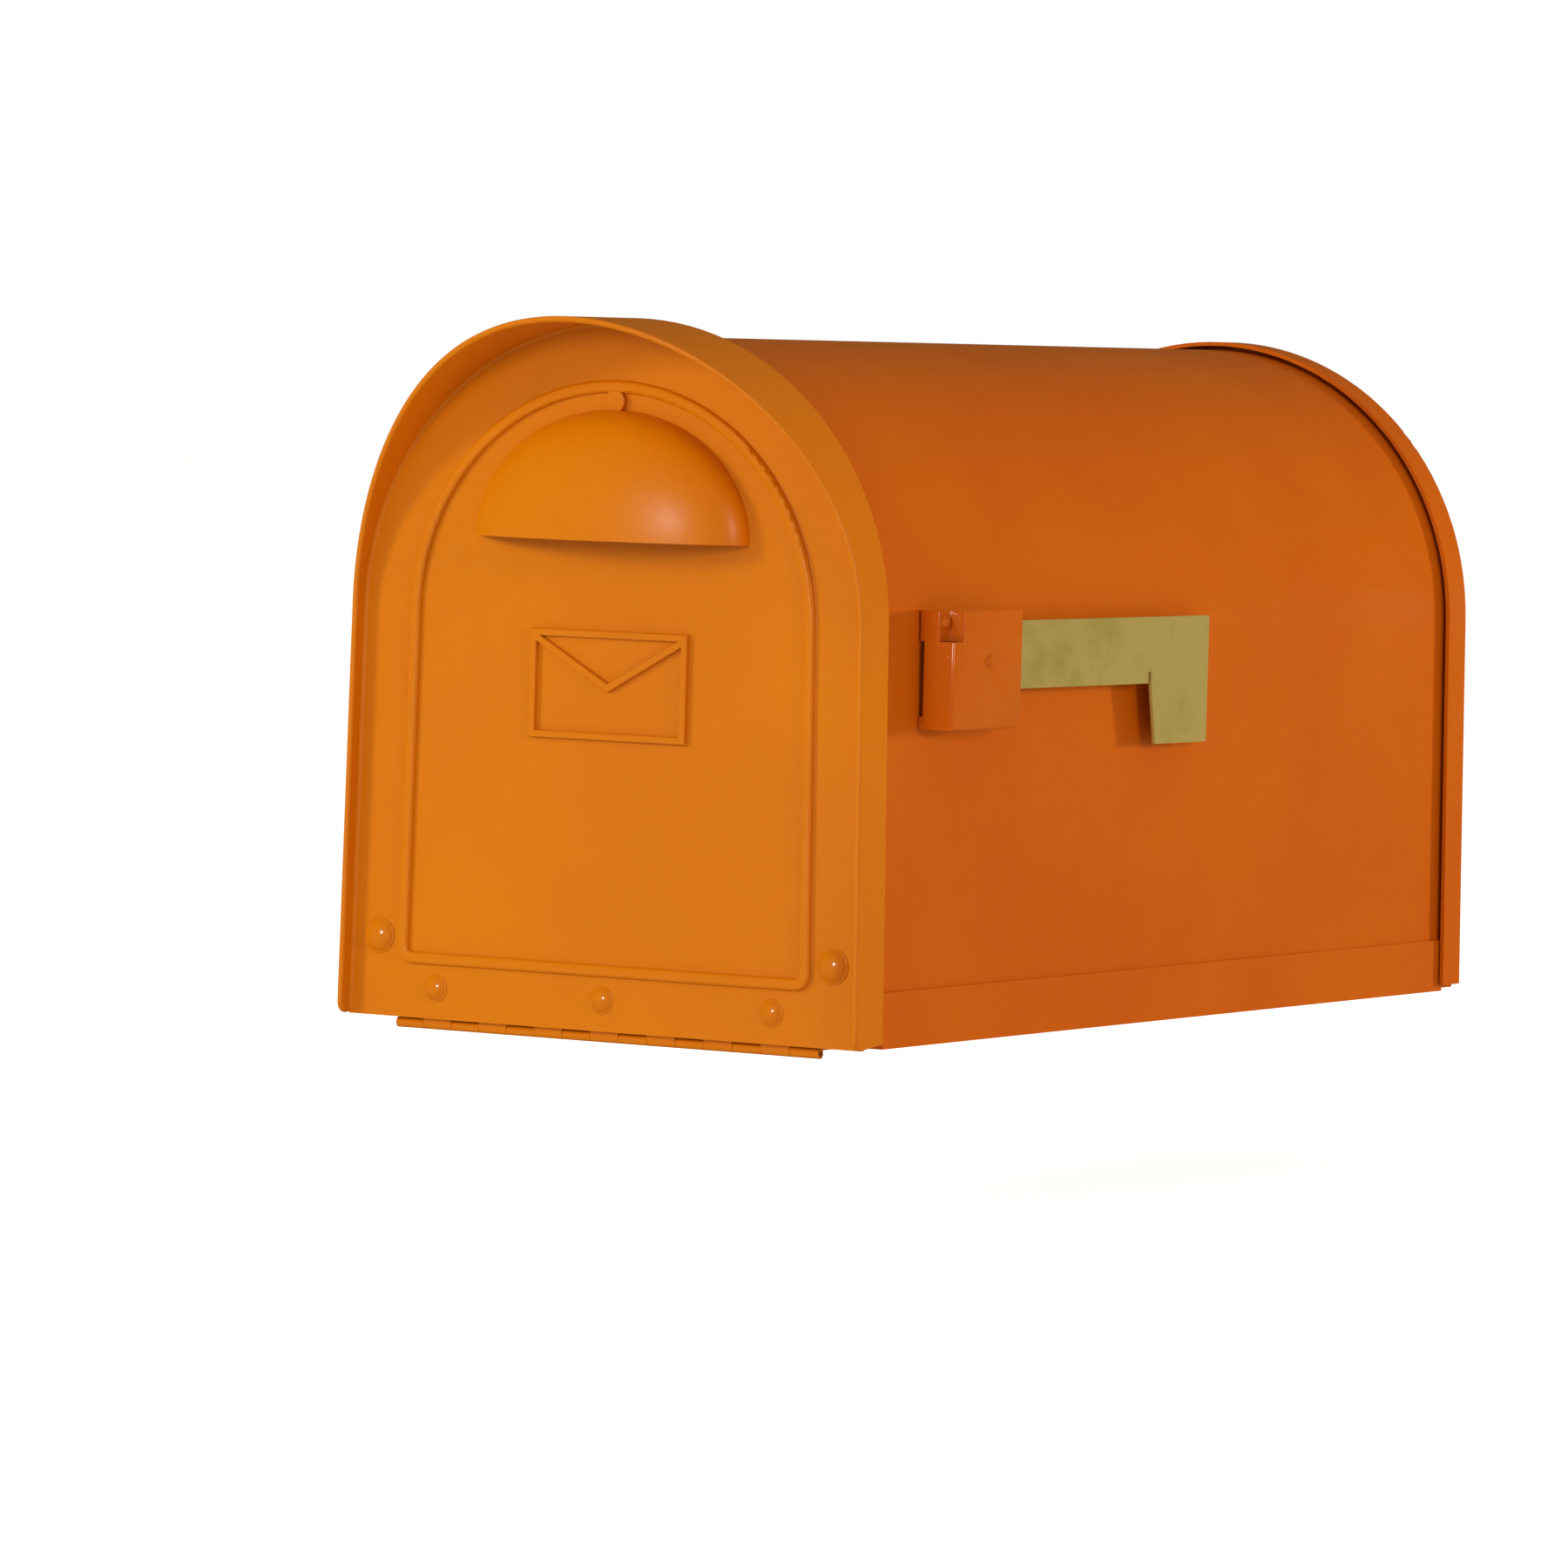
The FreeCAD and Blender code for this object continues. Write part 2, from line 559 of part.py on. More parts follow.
def drafted_tray(sketch, radius, low, high):
    """Cross-section between the drafted sides of the shell, from low to high."""
    lean = math.radians(val("dims.draft"))

    def half(at):
        return f"(({radius}) / cos(dims.draft * 1 deg) + (dims.tube_spring - ({at}))" \
               " * tan(dims.draft * 1 deg))"

    w_low = val(radius) / math.cos(lean) + (val("dims.tube_spring") - val(low)) * math.tan(lean)
    w_high = val(radius) / math.cos(lean) + (val("dims.tube_spring") - val(high)) * math.tan(lean)
    a, b = V(-w_low, val(low), 0), V(w_low, val(low), 0)
    c, d = V(w_high, val(high), 0), V(-w_high, val(high), 0)
    for here, there in ((a, b), (b, c), (c, d), (d, a)):
        sketch.addGeometry(Part.LineSegment(here, there), False)
    sketch.addConstraint([
        C("Coincident", 0, 2, 1, 1), C("Coincident", 1, 2, 2, 1),
        C("Coincident", 2, 2, 3, 1), C("Coincident", 3, 2, 0, 1),
        C("Symmetric", 0, 1, 0, 2, -2), C("Symmetric", 2, 1, 2, 2, -2),
    ])
    dimension(sketch, "low_width", C("DistanceX", 0, 1, 0, 2, 2 * w_low), f"2 * {half(low)}")
    dimension(sketch, "high_width", C("DistanceX", 2, 2, 2, 1, 2 * w_high), f"2 * {half(high)}")
    dimension(sketch, "low", C("DistanceY", -1, 1, 0, 1, val(low)), low)
    dimension(sketch, "high", C("DistanceY", -1, 1, 2, 1, val(high)), high)


def make_cap():
    body = new_body("rear_cap", y="dims.cap_front")
    outer = sketch_in(body, "XZ_Plane", "cap_outer")
    arch(outer, "dims.half_width", "dims.tube_spring", "dims.cap_bottom")
    pad(body, outer, "dims.cap_length")
    rear = val("dims.cap_front + dims.cap_length") - 0.01
    round_edges(body, "cap_round", "dims.cap_round", lambda box_of: box_of.YMin > rear)
    hollow = sketch_in(body, "XZ_Plane", "cap_hollow")
    arch(hollow, "dims.half_width - dims.cap_skirt", "dims.tube_spring", f"dims.cap_bottom - {OVER}")
    pocket(body, hollow, "dims.cap_length - dims.cap_plate")
    spigot = sketch_in(body, "XZ_Plane", "cap_spigot",
                       offset="dims.spigot_length + dims.cap_plate - dims.cap_length")
    arch(spigot, "dims.tube_radius - dims.sheet - dims.spigot_gap", "dims.tube_spring",
         "dims.pan_thick + dims.sheet + dims.shelf_gap")
    pad(body, spigot, "dims.spigot_length")
    inside = sketch_in(body, "XZ_Plane", "cap_inside")
    arch(inside, "dims.tube_radius - dims.sheet - dims.spigot_gap - dims.spigot_wall",
         "dims.tube_spring", "dims.cap_bottom + dims.shelf_thick")
    pocket(body, inside, "dims.cap_length - dims.cap_plate")
    shelf = sketch_in(body, "XY_Plane", "cap_shelf",
                      offset="dims.pan_thick + dims.sheet + dims.shelf_gap")
    back = "(dims.cap_length - dims.cap_plate)"
    rectangle(shelf, "-dims.shelf_half", f"{back} - dims.shelf_length", "2 * dims.shelf_half",
              "dims.shelf_length")
    pad(body, shelf, "dims.shelf_thick")
    middle = sketch_in(body, "XY_Plane", "cap_middle_foot", offset="dims.pan_thick")
    circle(middle, 0, f"{CAP_SCREW_Y} - dims.cap_front", "dims.cap_foot_r")
    pad(body, middle, "dims.sheet + 2 * dims.shelf_gap")
    holes = sketch_in(body, "XY_Plane", "cap_screw_holes", offset="dims.pan_thick")
    for x in CAP_SCREWS_X:
        circle(holes, x, f"{CAP_SCREW_Y} - dims.cap_front", CAP_SCREW_R)
    pocket(body, holes, f"dims.sheet + dims.shelf_thick + 2 * {OVER}")
    return body


# ---------------------------------------------------------------- continuous hinge
def make_hinge():
    """Two leaves whose knuckles alternate along one pin."""
    pitch = f"(dims.hinge_length / {KNUCKLES})"
    parts = {"body": [], "door": []}
    for n in range(KNUCKLES):
        owner = "body" if n % 2 == 0 else "door"
        left = f"-dims.hinge_length / 2 + {n} * {pitch} + dims.knuckle_gap / 2"
        width = f"{pitch} - dims.knuckle_gap"
        barrel = rod_x(f"{owner}_knuckle{n}", "dims.knuckle_radius", width,
                       (left, "dims.axis_y", "dims.axis_z"))
        if owner == "body":
            tab = box(f"body_tab{n}", (left, "dims.axis_y", "-dims.leaf_thick"),
                      (width, f"dims.leaf_inset + {OVER}", "dims.leaf_thick"))
        else:
            tab = box(f"door_tab{n}", (left, "dims.door_face + dims.plate_thick", "dims.axis_z"),
                      (width, "dims.leaf_thick", f"dims.leaf_inset + {OVER}"))
        parts[owner] += [barrel, tab]
    bore = rod_x("knuckle_bore", "dims.bore_radius", f"dims.hinge_length + 2 * {OVER}",
                 (f"-dims.hinge_length / 2 - {OVER}", "dims.axis_y", "dims.axis_z"))
    parts["body"].append(box(
        "body_leaf", ("-dims.hinge_length / 2", "dims.axis_y + dims.leaf_inset",
                      "-dims.leaf_thick"),
        ("dims.hinge_length", "dims.leaf_depth", "dims.leaf_thick")))
    parts["door"].append(box(
        "door_leaf", ("-dims.hinge_length / 2", "dims.door_face + dims.plate_thick",
                      "dims.axis_z + dims.leaf_inset"),
        ("dims.hinge_length", "dims.leaf_thick",
         "dims.leaf_height - dims.axis_z - dims.leaf_inset")))
    body_holes = [rod(f"body_leaf_hole{n}", LEAF_RIVET_R, f"dims.leaf_thick + 2 * {OVER}",
                      (x, LEAF_RIVET_Y, f"-dims.leaf_thick - {OVER}"))
                  for n, x in enumerate(LEAF_RIVETS_X)]
    door_holes = [rod_y(f"door_leaf_hole{n}", "dims.hinge_bolt_r + dims.fit",
                        f"dims.plate_thick + dims.leaf_thick + {OVER}",
                        (x, "dims.door_face", "dims.hinge_bolt_z"))
                  for n, x in enumerate(HINGE_BOLTS_X)]
    nodes["hinge_body_leaf"] = cut("hinge_body_leaf", fuse("body_leaf_blank", parts["body"]),
                                   [bore] + body_holes)
    nodes["hinge_door_leaf"] = cut("hinge_door_leaf", fuse("door_leaf_blank", parts["door"]),
                                   [bore] + door_holes)
    nodes["hinge_pin"] = rod_x("hinge_pin", "dims.pin_radius", f"dims.hinge_length - {OVER}",
                               (f"{OVER} / 2 - dims.hinge_length / 2", "dims.axis_y", "dims.axis_z"))


# ---------------------------------------------------------------- rivets and screws of the body
def rivet_up(name, x, y, low, radius, grip, head_radius):
    """Rivet through the floor: low head under it, formed head on top of grip."""
    under = domed_head(name + "_under", head_radius, RIVET_HEAD)
    under = turned_copy(name + "_under_turned", under, (0, 0, 0), (1, 0, 0), 180)
    shank = rod(name + "_shank", radius, grip, (0, 0, 0))
    top = rod(name + "_top", f"({radius}) * {RIVET_TAIL}", RIVET_HEAD, (0, 0, grip))
    return turned(fuse(name, [under, shank, top]), name, (x, y, low))


def make_floor_fasteners():
    grip = "dims.pan_thick + dims.sheet"
    rivets = [rivet_up(f"pan_rivet{n}_{'lr'[side > 0]}", side * PAN_RIVET_X, y, 0, PAN_RIVET_R,
                       grip, PAN_RIVET_HEAD_R)
              for n, y in enumerate(PAN_RIVETS_Y) for side in SIDES]
    nodes["pan_rivets"] = group("pan_rivets", rivets)
    leaf_grip = "dims.pan_thick + dims.leaf_thick"
    rivets = [rivet_up(f"leaf_rivet{n}", x, LEAF_RIVET_Y, "-dims.leaf_thick", LEAF_RIVET_R,
                       leaf_grip, LEAF_RIVET_HEAD_R)
              for n, x in enumerate(LEAF_RIVETS_X)]
    nodes["hinge_leaf_rivets"] = group("hinge_leaf_rivets", rivets)
    screws = []
    for n, x in enumerate(CAP_SCREWS_X):
        name = f"cap_screw{n}"
        screw = domed_bolt(name, *CAP_SCREW_HEAD, CAP_SCREW_R,
                           f"dims.pan_thick + dims.sheet + dims.shelf_thick + {OVER}")
        screws.append(turned(screw, name, (x, CAP_SCREW_Y, 0), (1, 0, 0), 180))
    nodes["rear_cap_screws"] = group("rear_cap_screws", screws)


# ---------------------------------------------------------------- door stays
def along_circle(angle):
    """Point of the circle about the hinge axis that carries the stay pivot and the guide pin."""
    reach = "sqrt((dims.door_face + dims.stay_back - dims.axis_y)^2" \
            " + (dims.stay_height - dims.axis_z)^2)"
    return (f"dims.axis_y + {reach} * cos({angle} * 1 deg)",
            f"dims.axis_z + {reach} * sin({angle} * 1 deg)")


def stay_numbers():
    """Lengths from stay pivot to guide pin, door shut and open, and the stay's slope when shut."""
    back = val("dims.door_face + dims.stay_back - dims.axis_y")
    rise = val("dims.stay_height - dims.axis_z")
    reach = math.hypot(back, rise)
    pivot_angle = math.degrees(math.atan2(rise, back))
    shut = pivot_angle - val("dims.guide_angle")
    wide = shut + val("dims.open_angle")
    slope = 90 - (pivot_angle + val("dims.guide_angle")) / 2
    return (2 * reach * math.sin(math.radians(shut / 2)),
            2 * reach * math.sin(math.radians(wide / 2)), slope)


def slotted(sketch, x0, x1, radius):
    """Long hole or long plate: two level sides between two half circles."""
    low, high, r = val(x0), val(x1), val(radius)
    sketch.addGeometry([
        Part.ArcOfCircle(Part.Circle(V(low, 0, 0), V(0, 0, 1), r), math.pi / 2, 3 * math.pi / 2),
        Part.LineSegment(V(low, -r, 0), V(high, -r, 0)),
        Part.ArcOfCircle(Part.Circle(V(high, 0, 0), V(0, 0, 1), r), -math.pi / 2, math.pi / 2),
        Part.LineSegment(V(high, r, 0), V(low, r, 0)),
    ], False)
    sketch.addConstraint([
        C("Tangent", 0, 2, 1, 1), C("Tangent", 1, 2, 2, 1),
        C("Tangent", 2, 2, 3, 1), C("Tangent", 3, 2, 0, 1),
        C("PointOnObject", 0, 3, -1), C("PointOnObject", 2, 3, -1), C("Equal", 0, 2),
    ])
    dimension(sketch, "radius", C("Radius", 0, r), radius)
    dimension(sketch, "start", C("DistanceX", -1, 1, 0, 3, low), x0)
    dimension(sketch, "end", C("DistanceX", -1, 1, 2, 3, high), x1)


def make_stay():
    """Right-hand stay, drawn along +Y from its pivot and turned down to its slope."""
    shut, wide, slope = stay_numbers()
    body = new_body("stay_arm_right")
    plate = sketch_in(body, "YZ_Plane", "stay_plate")
    slotted(plate, 0, f"{wide} + dims.stay_end", "dims.stay_half")
    pad(body, plate, "dims.stay_thick")
    slot = sketch_in(body, "YZ_Plane", "stay_slot")
    slotted(slot, shut, wide, "dims.slot_half")
    pocket(body, slot)
    hole = sketch_in(body, "YZ_Plane", "stay_hole")
    circle(hole, 0, 0, "dims.guide_pin_r + dims.fit")
    pocket(body, hole)
    place(body, "dims.stay_face", "dims.door_face + dims.stay_back", "dims.stay_height",
          axis=(1, 0, 0), angle=-slope)
    doc.recompute()
    nodes["stay_arm_right"] = body
    nodes["stay_arm_left"] = mirror("stay_arm_left", body)


def headed_pin(name, left, length, y, z):
    """Pin along X between two round heads: two solids of one piece, joined."""
    return fuse(name, [
        rod_x(name + "_shank", "dims.guide_pin_r", length, (left, y, z)),
        rod_x(name + "_inner", "dims.pin_head_r", "dims.pin_head",
              (f"{left} - dims.pin_head", y, z)),
        rod_x(name + "_outer", "dims.pin_head_r", "dims.pin_head", (f"{left} + {length}", y, z)),
    ])


def make_stay_lug():
    """Right-hand angle on the door: a foot under the corner bolt and an ear for the stay."""
    back = "dims.door_face + dims.plate_thick"
    pivot = ("dims.door_face + dims.stay_back", "dims.stay_height")
    ear_face = "dims.stay_face + dims.stay_thick + dims.stay_gap"
    foot_left = "dims.corner_bolt_x - dims.lug_edge"
    foot = box("lug_foot", (foot_left, back, "dims.lug_low"),
               (f"{ear_face} + dims.stay_thick - ({foot_left})", "dims.stay_thick",
                "dims.lug_high - dims.lug_low"))
    ear = box("lug_ear", (ear_face, back, "dims.stay_height - dims.ear_half"),
              ("dims.stay_thick", "dims.stay_back - dims.plate_thick", "2 * dims.ear_half"))
    nose = rod_x("lug_nose", "dims.ear_half", "dims.stay_thick", (ear_face, *pivot))
    bolt_hole = rod_y("lug_bolt_hole", "dims.corner_bolt_r + dims.fit",
                      f"dims.plate_thick + dims.stay_thick + {OVER}",
                      ("dims.corner_bolt_x", "dims.door_face", "dims.corner_bolt_z"))
    rivet_hole = rod_x("lug_rivet_hole", "dims.guide_pin_r + dims.fit",
                       f"2 * dims.stay_thick + dims.stay_gap + {OVER}",
                       ("dims.stay_face", *pivot))
    lug = cut("door_lug_right", fuse("lug_blank", [foot, ear, nose]), [bolt_hole, rivet_hole])
    nodes["door_lug_right"] = lug
    nodes["door_lug_left"] = mirror("door_lug_left", lug)
    rivet = headed_pin("stay_rivet", "dims.stay_face", "(2 * dims.stay_thick + dims.stay_gap)",
                       *pivot)
    nodes["stay_rivets"] = group("stay_rivets", [rivet, mirror("stay_rivet_left", rivet)])


def make_guide_bracket():
    """Right-hand angle on the floor, stepped over the shell's foot, that carries the guide pin."""
    pin = along_circle("dims.guide_angle")
    front = f"{pin[0]} - dims.guide_half"
    face = "(dims.stay_face - 2 * dims.stay_gap)"
    rear_face = f"{face} - dims.stay_thick"
    foot_left = f"({GUIDE_RIVET_X} - dims.guide_half)"
    foot = box("guide_foot", (foot_left, front, "dims.pan_thick"),
               (f"{face} - {foot_left}", "dims.guide_length", "dims.stay_thick"))
    upright = box("guide_upright", (rear_face, front, "dims.pan_thick"),
                  ("dims.stay_thick", "2 * dims.guide_half", f"{pin[1]} - dims.pan_thick"))
    crown = rod_x("guide_crown", "dims.guide_half", "dims.stay_thick", (rear_face, *pin))
    shell_foot = box("guide_room", ("dims.tube_radius - dims.foot_width - dims.stay_gap",
                                    f"{front} - {OVER}", f"dims.pan_thick - {OVER}"),
                     ("2 * dims.foot_width", f"dims.guide_length + 2 * {OVER}",
                      f"dims.sheet + {OVER} + dims.knuckle_gap"))
    step = box("guide_step", (f"{rear_face} - dims.guide_step", front,
                              "dims.pan_thick + dims.sheet + dims.knuckle_gap"),
               ("dims.stay_thick + dims.guide_step", "dims.guide_length", "dims.stay_thick"))
    pin_hole = rod_x("guide_pin_hole", "dims.guide_pin_r + dims.fit",
                     f"dims.stay_thick + 2 * {OVER}", (f"{rear_face} - {OVER}", *pin))
    rivet_holes = [rod(f"guide_rivet_hole{n}", LEAF_RIVET_R, 8, (GUIDE_RIVET_X, y, -OVER))
                   for n, y in enumerate(GUIDE_RIVETS_Y)]
    clear = cut("guide_clear", fuse("guide_angle_blank", [foot, upright]), [shell_foot])
    bracket = cut("guide_bracket_right", fuse("guide_blank", [clear, crown, step]),
                  [pin_hole] + rivet_holes)
    nodes["guide_bracket_right"] = bracket
    nodes["guide_bracket_left"] = mirror("guide_bracket_left", bracket)
    guide_pin = headed_pin("guide_pin", rear_face,
                           "(2 * dims.stay_thick + 3 * dims.stay_gap)", *pin)
    nodes["guide_pins"] = group("guide_pins", [guide_pin, mirror("guide_pin_left", guide_pin)])
    rivets = []
    for n, y in enumerate(GUIDE_RIVETS_Y):
        rivet = rivet_up(f"guide_rivet{n}", GUIDE_RIVET_X, y, 0, LEAF_RIVET_R,
                         "dims.pan_thick + dims.stay_thick", LEAF_RIVET_HEAD_R)
        rivets += [rivet, mirror(f"guide_rivet{n}_left", rivet)]
    nodes["guide_bracket_rivets"] = group("guide_bracket_rivets", rivets)


# ---------------------------------------------------------------- bolts through the door
def make_door_bolts():
    back = "dims.door_face + dims.plate_thick"
    for name, places, height, radius, head, dome, packing, nut, nut_height in DOOR_BOLTS:
        bolts = []
        nuts = []
        for n, x in enumerate(places):
            bolt = domed_bolt(f"{name}{n}", head, dome, radius,
                              f"dims.plate_thick + {packing} + {nut_height} + {THREAD_END}")
            bolts.append(turned(bolt, f"{name}{n}", (x, "dims.door_face", height), (1, 0, 0), 90))
            piece = hex_nut(f"{name}_nut{n}", nut, nut_height, radius)
            nuts.append(turned(piece, f"{name}_nut{n}", (x, f"{back} + {packing}", height),
                               (1, 0, 0), -90))
        nodes[name + "s"] = group(name + "s", bolts)
        nodes[name + "_nuts"] = group(name + "_nuts", nuts)


# ---------------------------------------------------------------- latch at the crown
def bent_strip(name, points, width, thick):
    """Strip of sheet bent along points of the YZ plane, made by joined boxes and bend rods."""
    runs = []
    for n, (here, there) in enumerate(zip(points, points[1:])):
        length = math.dist(here, there)
        slope = math.degrees(math.atan2(there[1] - here[1], there[0] - here[0]))
        run = doc.addObject("Part::Box", f"{name}_run{n}")
        bind(run, Length=width, Width=length, Height=thick)
        run.Placement = FreeCAD.Placement(
            V(-width / 2, here[0] + math.sin(math.radians(slope)) * thick / 2,
              here[1] - math.cos(math.radians(slope)) * thick / 2),
            FreeCAD.Rotation(V(1, 0, 0), slope))
        runs.append(run)
    for n, (y, z) in enumerate(points[1:-1]):
        runs.append(rod_x(f"{name}_bend{n}", thick / 2, width, (-width / 2, y, z)))
    return fuse(name, runs)


def make_latch():
    """Tongue screwed to the door, and a catch spring riveted under the crown of the shell."""
    back = val("dims.door_face + dims.plate_thick")
    half = STRIP / 2
    top = val("dims.tongue_top") - half
    bend = back + val("dims.tongue_flat")
    crest = bend + 0.4 * val("dims.tongue_nose")
    tongue = bent_strip("tongue_blank", [
        (back + half, top - val("dims.tongue_leg")), (back + half, top), (bend, top),
        (crest, top + STRIP), (bend + val("dims.tongue_nose"), top - half)],
        TONGUE_WIDTH, STRIP)
    hole = rod_y("tongue_hole", LATCH_SCREW_R + val("dims.fit"), STRIP + 2 * OVER,
                 (0, back - OVER, "dims.boss_height"))
    nodes["latch_tongue"] = cut("latch_tongue", tongue, [hole])
    screw = domed_bolt("latch_screw", *LATCH_SCREW_HEAD, LATCH_SCREW_R, LATCH_SCREW_LENGTH)
    nodes["latch_screw"] = turned(screw, "latch_screw", (0, back + STRIP, "dims.boss_height"),
                                  (1, 0, 0), -90)
    roof = val("dims.tube_spring + dims.tube_radius - dims.sheet")
    low = val("dims.catch_low") + half
    seat = roof - STRIP - 2 * val("dims.fit")
    spring = bent_strip("catch_blank", [
        (CATCH_RIVET_Y - val("dims.catch_front"), seat),
        (CATCH_RIVET_Y + val("dims.catch_flat"), seat),
        (CATCH_RIVET_Y + val("dims.catch_dip"), low),
        (CATCH_RIVET_Y + val("dims.catch_rear"), low + 4 * STRIP)], CATCH_WIDTH, STRIP)
    holes = []
    rivets = []
    for n, side in enumerate(SIDES):
        x = side * CATCH_RIVET_X
        holes.append(rod(f"catch_hole{n}", CATCH_RIVET_R, 8 * STRIP,
                         (x, CATCH_RIVET_Y, seat - 4 * STRIP)))
        rivet = domed_bolt(f"catch_rivet{n}", *CATCH_RIVET_HEAD, CATCH_RIVET_R,
                           f"dims.sheet + 3 * {STRIP}")
        rivets.append(turned(rivet, f"catch_rivet{n}",
                             (x, CATCH_RIVET_Y, f"{roof} + dims.sheet")))
    nodes["catch_spring"] = cut("catch_spring", spring, holes)
    nodes["catch_rivets"] = group("catch_rivets", rivets)


# ---------------------------------------------------------------- flag and its bracket
def make_bracket():
    """Cast box open at the rear and above the arm, with a notch for its screw."""
    front, low, high = "dims.bracket_front", "dims.bracket_low", "dims.bracket_high"
    seat, face, wall = "dims.bracket_seat", "dims.bracket_face", "dims.bracket_wall"
    depth = f"({face} - {seat})"
    outside = box("bracket_block", (seat, front, low),
                  (depth, "dims.bracket_length", f"{high} - {low}"))
    face_x, front_y, foot_z = val(face), val(front), val(low)
    rear_y = val(f"{front} + dims.bracket_length")

    def at_rear(box_of):
        return box_of.Center.y > rear_y - OVER

    def outer_edge(box_of):
        at_front = box_of.Center.y < front_y + OVER
        at_foot = box_of.Center.z < foot_z + OVER
        return box_of.Center.x > face_x - OVER and (at_front or at_foot) and not at_rear(box_of)

    def rear_toe(box_of):
        across = box_of.XLength > OVER
        return at_rear(box_of) and box_of.Center.z < foot_z + OVER and across

    blank = rounded("bracket_rounds", outside, [
        (val("dims.bracket_round"), outer_edge), (val("dims.bracket_toe"), rear_toe)])
    hollow = box("bracket_hollow", (f"{seat} - {OVER}", f"{front} + {wall}", f"{low} + {wall}"),
                 (f"{depth} - {wall} + {OVER}", "dims.bracket_length", f"{high} - {low}"))
    block_low = f"{high} - dims.block_height"
    block = box("bracket_lug", (seat, front, block_low),
                (depth, "dims.block_length", "dims.block_height"))
    stop = box("bracket_stop", (f"{seat} + {wall}", "dims.pivot_y + dims.stop_back",
                                f"{low} + {OVER}"),
               (f"{depth} - {wall} - {OVER}", "dims.stop_length",
                f"dims.pivot_z - dims.flag_down - {low} - {OVER} - dims.stay_gap"))
    notch = box("bracket_notch", ("dims.notch_floor", f"{front} - {OVER}", block_low),
                (depth, f"dims.notch_length + {OVER}", f"dims.block_height + {OVER}"))
    slot = box("bracket_slot", (f"{seat} - {OVER}", f"{front} - {OVER}", f"{low} + dims.slot_low"),
               (f"{wall} + {OVER}", f"dims.slot_depth + {OVER}",
                f"{high} - {low} - dims.block_height - dims.slot_low"))
    screw_hole = rod_x("bracket_screw_hole", f"{BRACKET_SCREW_R} + 2 * dims.fit", depth,
                       (f"{seat} - {OVER}", BRACKET_SCREW_Y, BRACKET_SCREW_Z))
    pivot_hole = rod_x("bracket_pivot_hole", "dims.pivot_radius + dims.fit",
                       f"{wall} + 2 * {OVER}",
                       (f"{face} - {wall} - {OVER}", "dims.pivot_y", "dims.pivot_z"))
    shell = fuse("bracket_body", [cut("bracket_shell", blank, [hollow]), block, stop])
    nodes["flag_bracket"] = cut("flag_bracket", shell, [notch, slot, screw_hole, pivot_hole])


def make_flag():
    """Flat plate: an arm with a round nose about its pivot, and a leg that hangs from its end."""
    up, down, reach = val("dims.flag_up"), val("dims.flag_down"), val("dims.flag_reach")
    leg, drop = val("dims.flag_leg"), val("dims.flag_drop")
    slit, depth = val("dims.relief_width"), val("dims.relief_depth")
    body = new_body("flag_plate")
    outline = sketch_in(body, "YZ_Plane", "flag_outline")
    nose = -math.sqrt(up * up - down * down)
    inner = reach - leg
    toe = val("dims.flag_toe")
    points = [V(nose, -down, 0), V(inner - slit, -down, 0), V(inner - slit, depth - down, 0),
              V(inner, depth - down, 0), V(inner, -down, 0), V(inner + toe, -drop, 0),
              V(reach, -drop, 0), V(reach, up, 0), V(0, up, 0)]
    for here, there in zip(points, points[1:]):
        outline.addGeometry(Part.LineSegment(here, there), False)
    end = math.atan2(-down, nose) % (2 * math.pi)
    outline.addGeometry(Part.ArcOfCircle(Part.Circle(V(0, 0, 0), V(0, 0, 1), up),
                                         math.pi / 2, end), False)
    joins = [C("Coincident", n, 2, n + 1, 1) for n in range(7)]
    level = [C("Horizontal", n) for n in (0, 2, 5, 7)]
    upright = [C("Vertical", n) for n in (1, 3, 6)]
    outline.addConstraint(joins + level + upright + [
        C("Tangent", 7, 2, 8, 1), C("Coincident", 8, 2, 0, 1), C("Coincident", 8, 3, -1, 1)])
    dimension(outline, "up", C("Radius", 8, up), "dims.flag_up")
    dimension(outline, "down", C("DistanceY", 0, 1, -1, 1, down), "dims.flag_down")
    dimension(outline, "reach", C("DistanceX", -1, 1, 6, 2, reach), "dims.flag_reach")
    dimension(outline, "leg", C("DistanceX", 3, 2, 6, 2, leg), "dims.flag_leg")
    dimension(outline, "drop", C("DistanceY", 6, 1, -1, 1, drop), "dims.flag_drop")
    dimension(outline, "relief", C("DistanceY", 3, 2, 3, 1, depth), "dims.relief_depth")
    dimension(outline, "slit", C("DistanceX", 2, 1, 2, 2, slit), "dims.relief_width")
    dimension(outline, "toe", C("DistanceX", 4, 1, 4, 2, toe), "dims.flag_toe")
    dimension(outline, "heel", C("DistanceY", 3, 2, -1, 1, down), "dims.flag_down")
    pad(body, outline, "dims.flag_thick")
    hole = sketch_in(body, "YZ_Plane", "flag_hole")
    circle(hole, 0, 0, "dims.pivot_radius + 1.2")
    pocket(body, hole)
    place(body, "dims.flag_face - dims.flag_thick", "dims.pivot_y", "dims.pivot_z")
    doc.recompute()
    nodes["flag_plate"] = body


def ring_of(name, solids, at):
    """Solids about the flag's pivot, bored through along X to turn on its bolt."""
    blank = solids[0] if len(solids) == 1 else fuse(name + "_blank", solids)
    hole = rod_x(name + "_bore", "dims.pivot_radius + dims.fit", 2 * VISOR,
                 (f"dims.flag_face - {VISOR}", *at))
    return cut(name, blank, [hole])


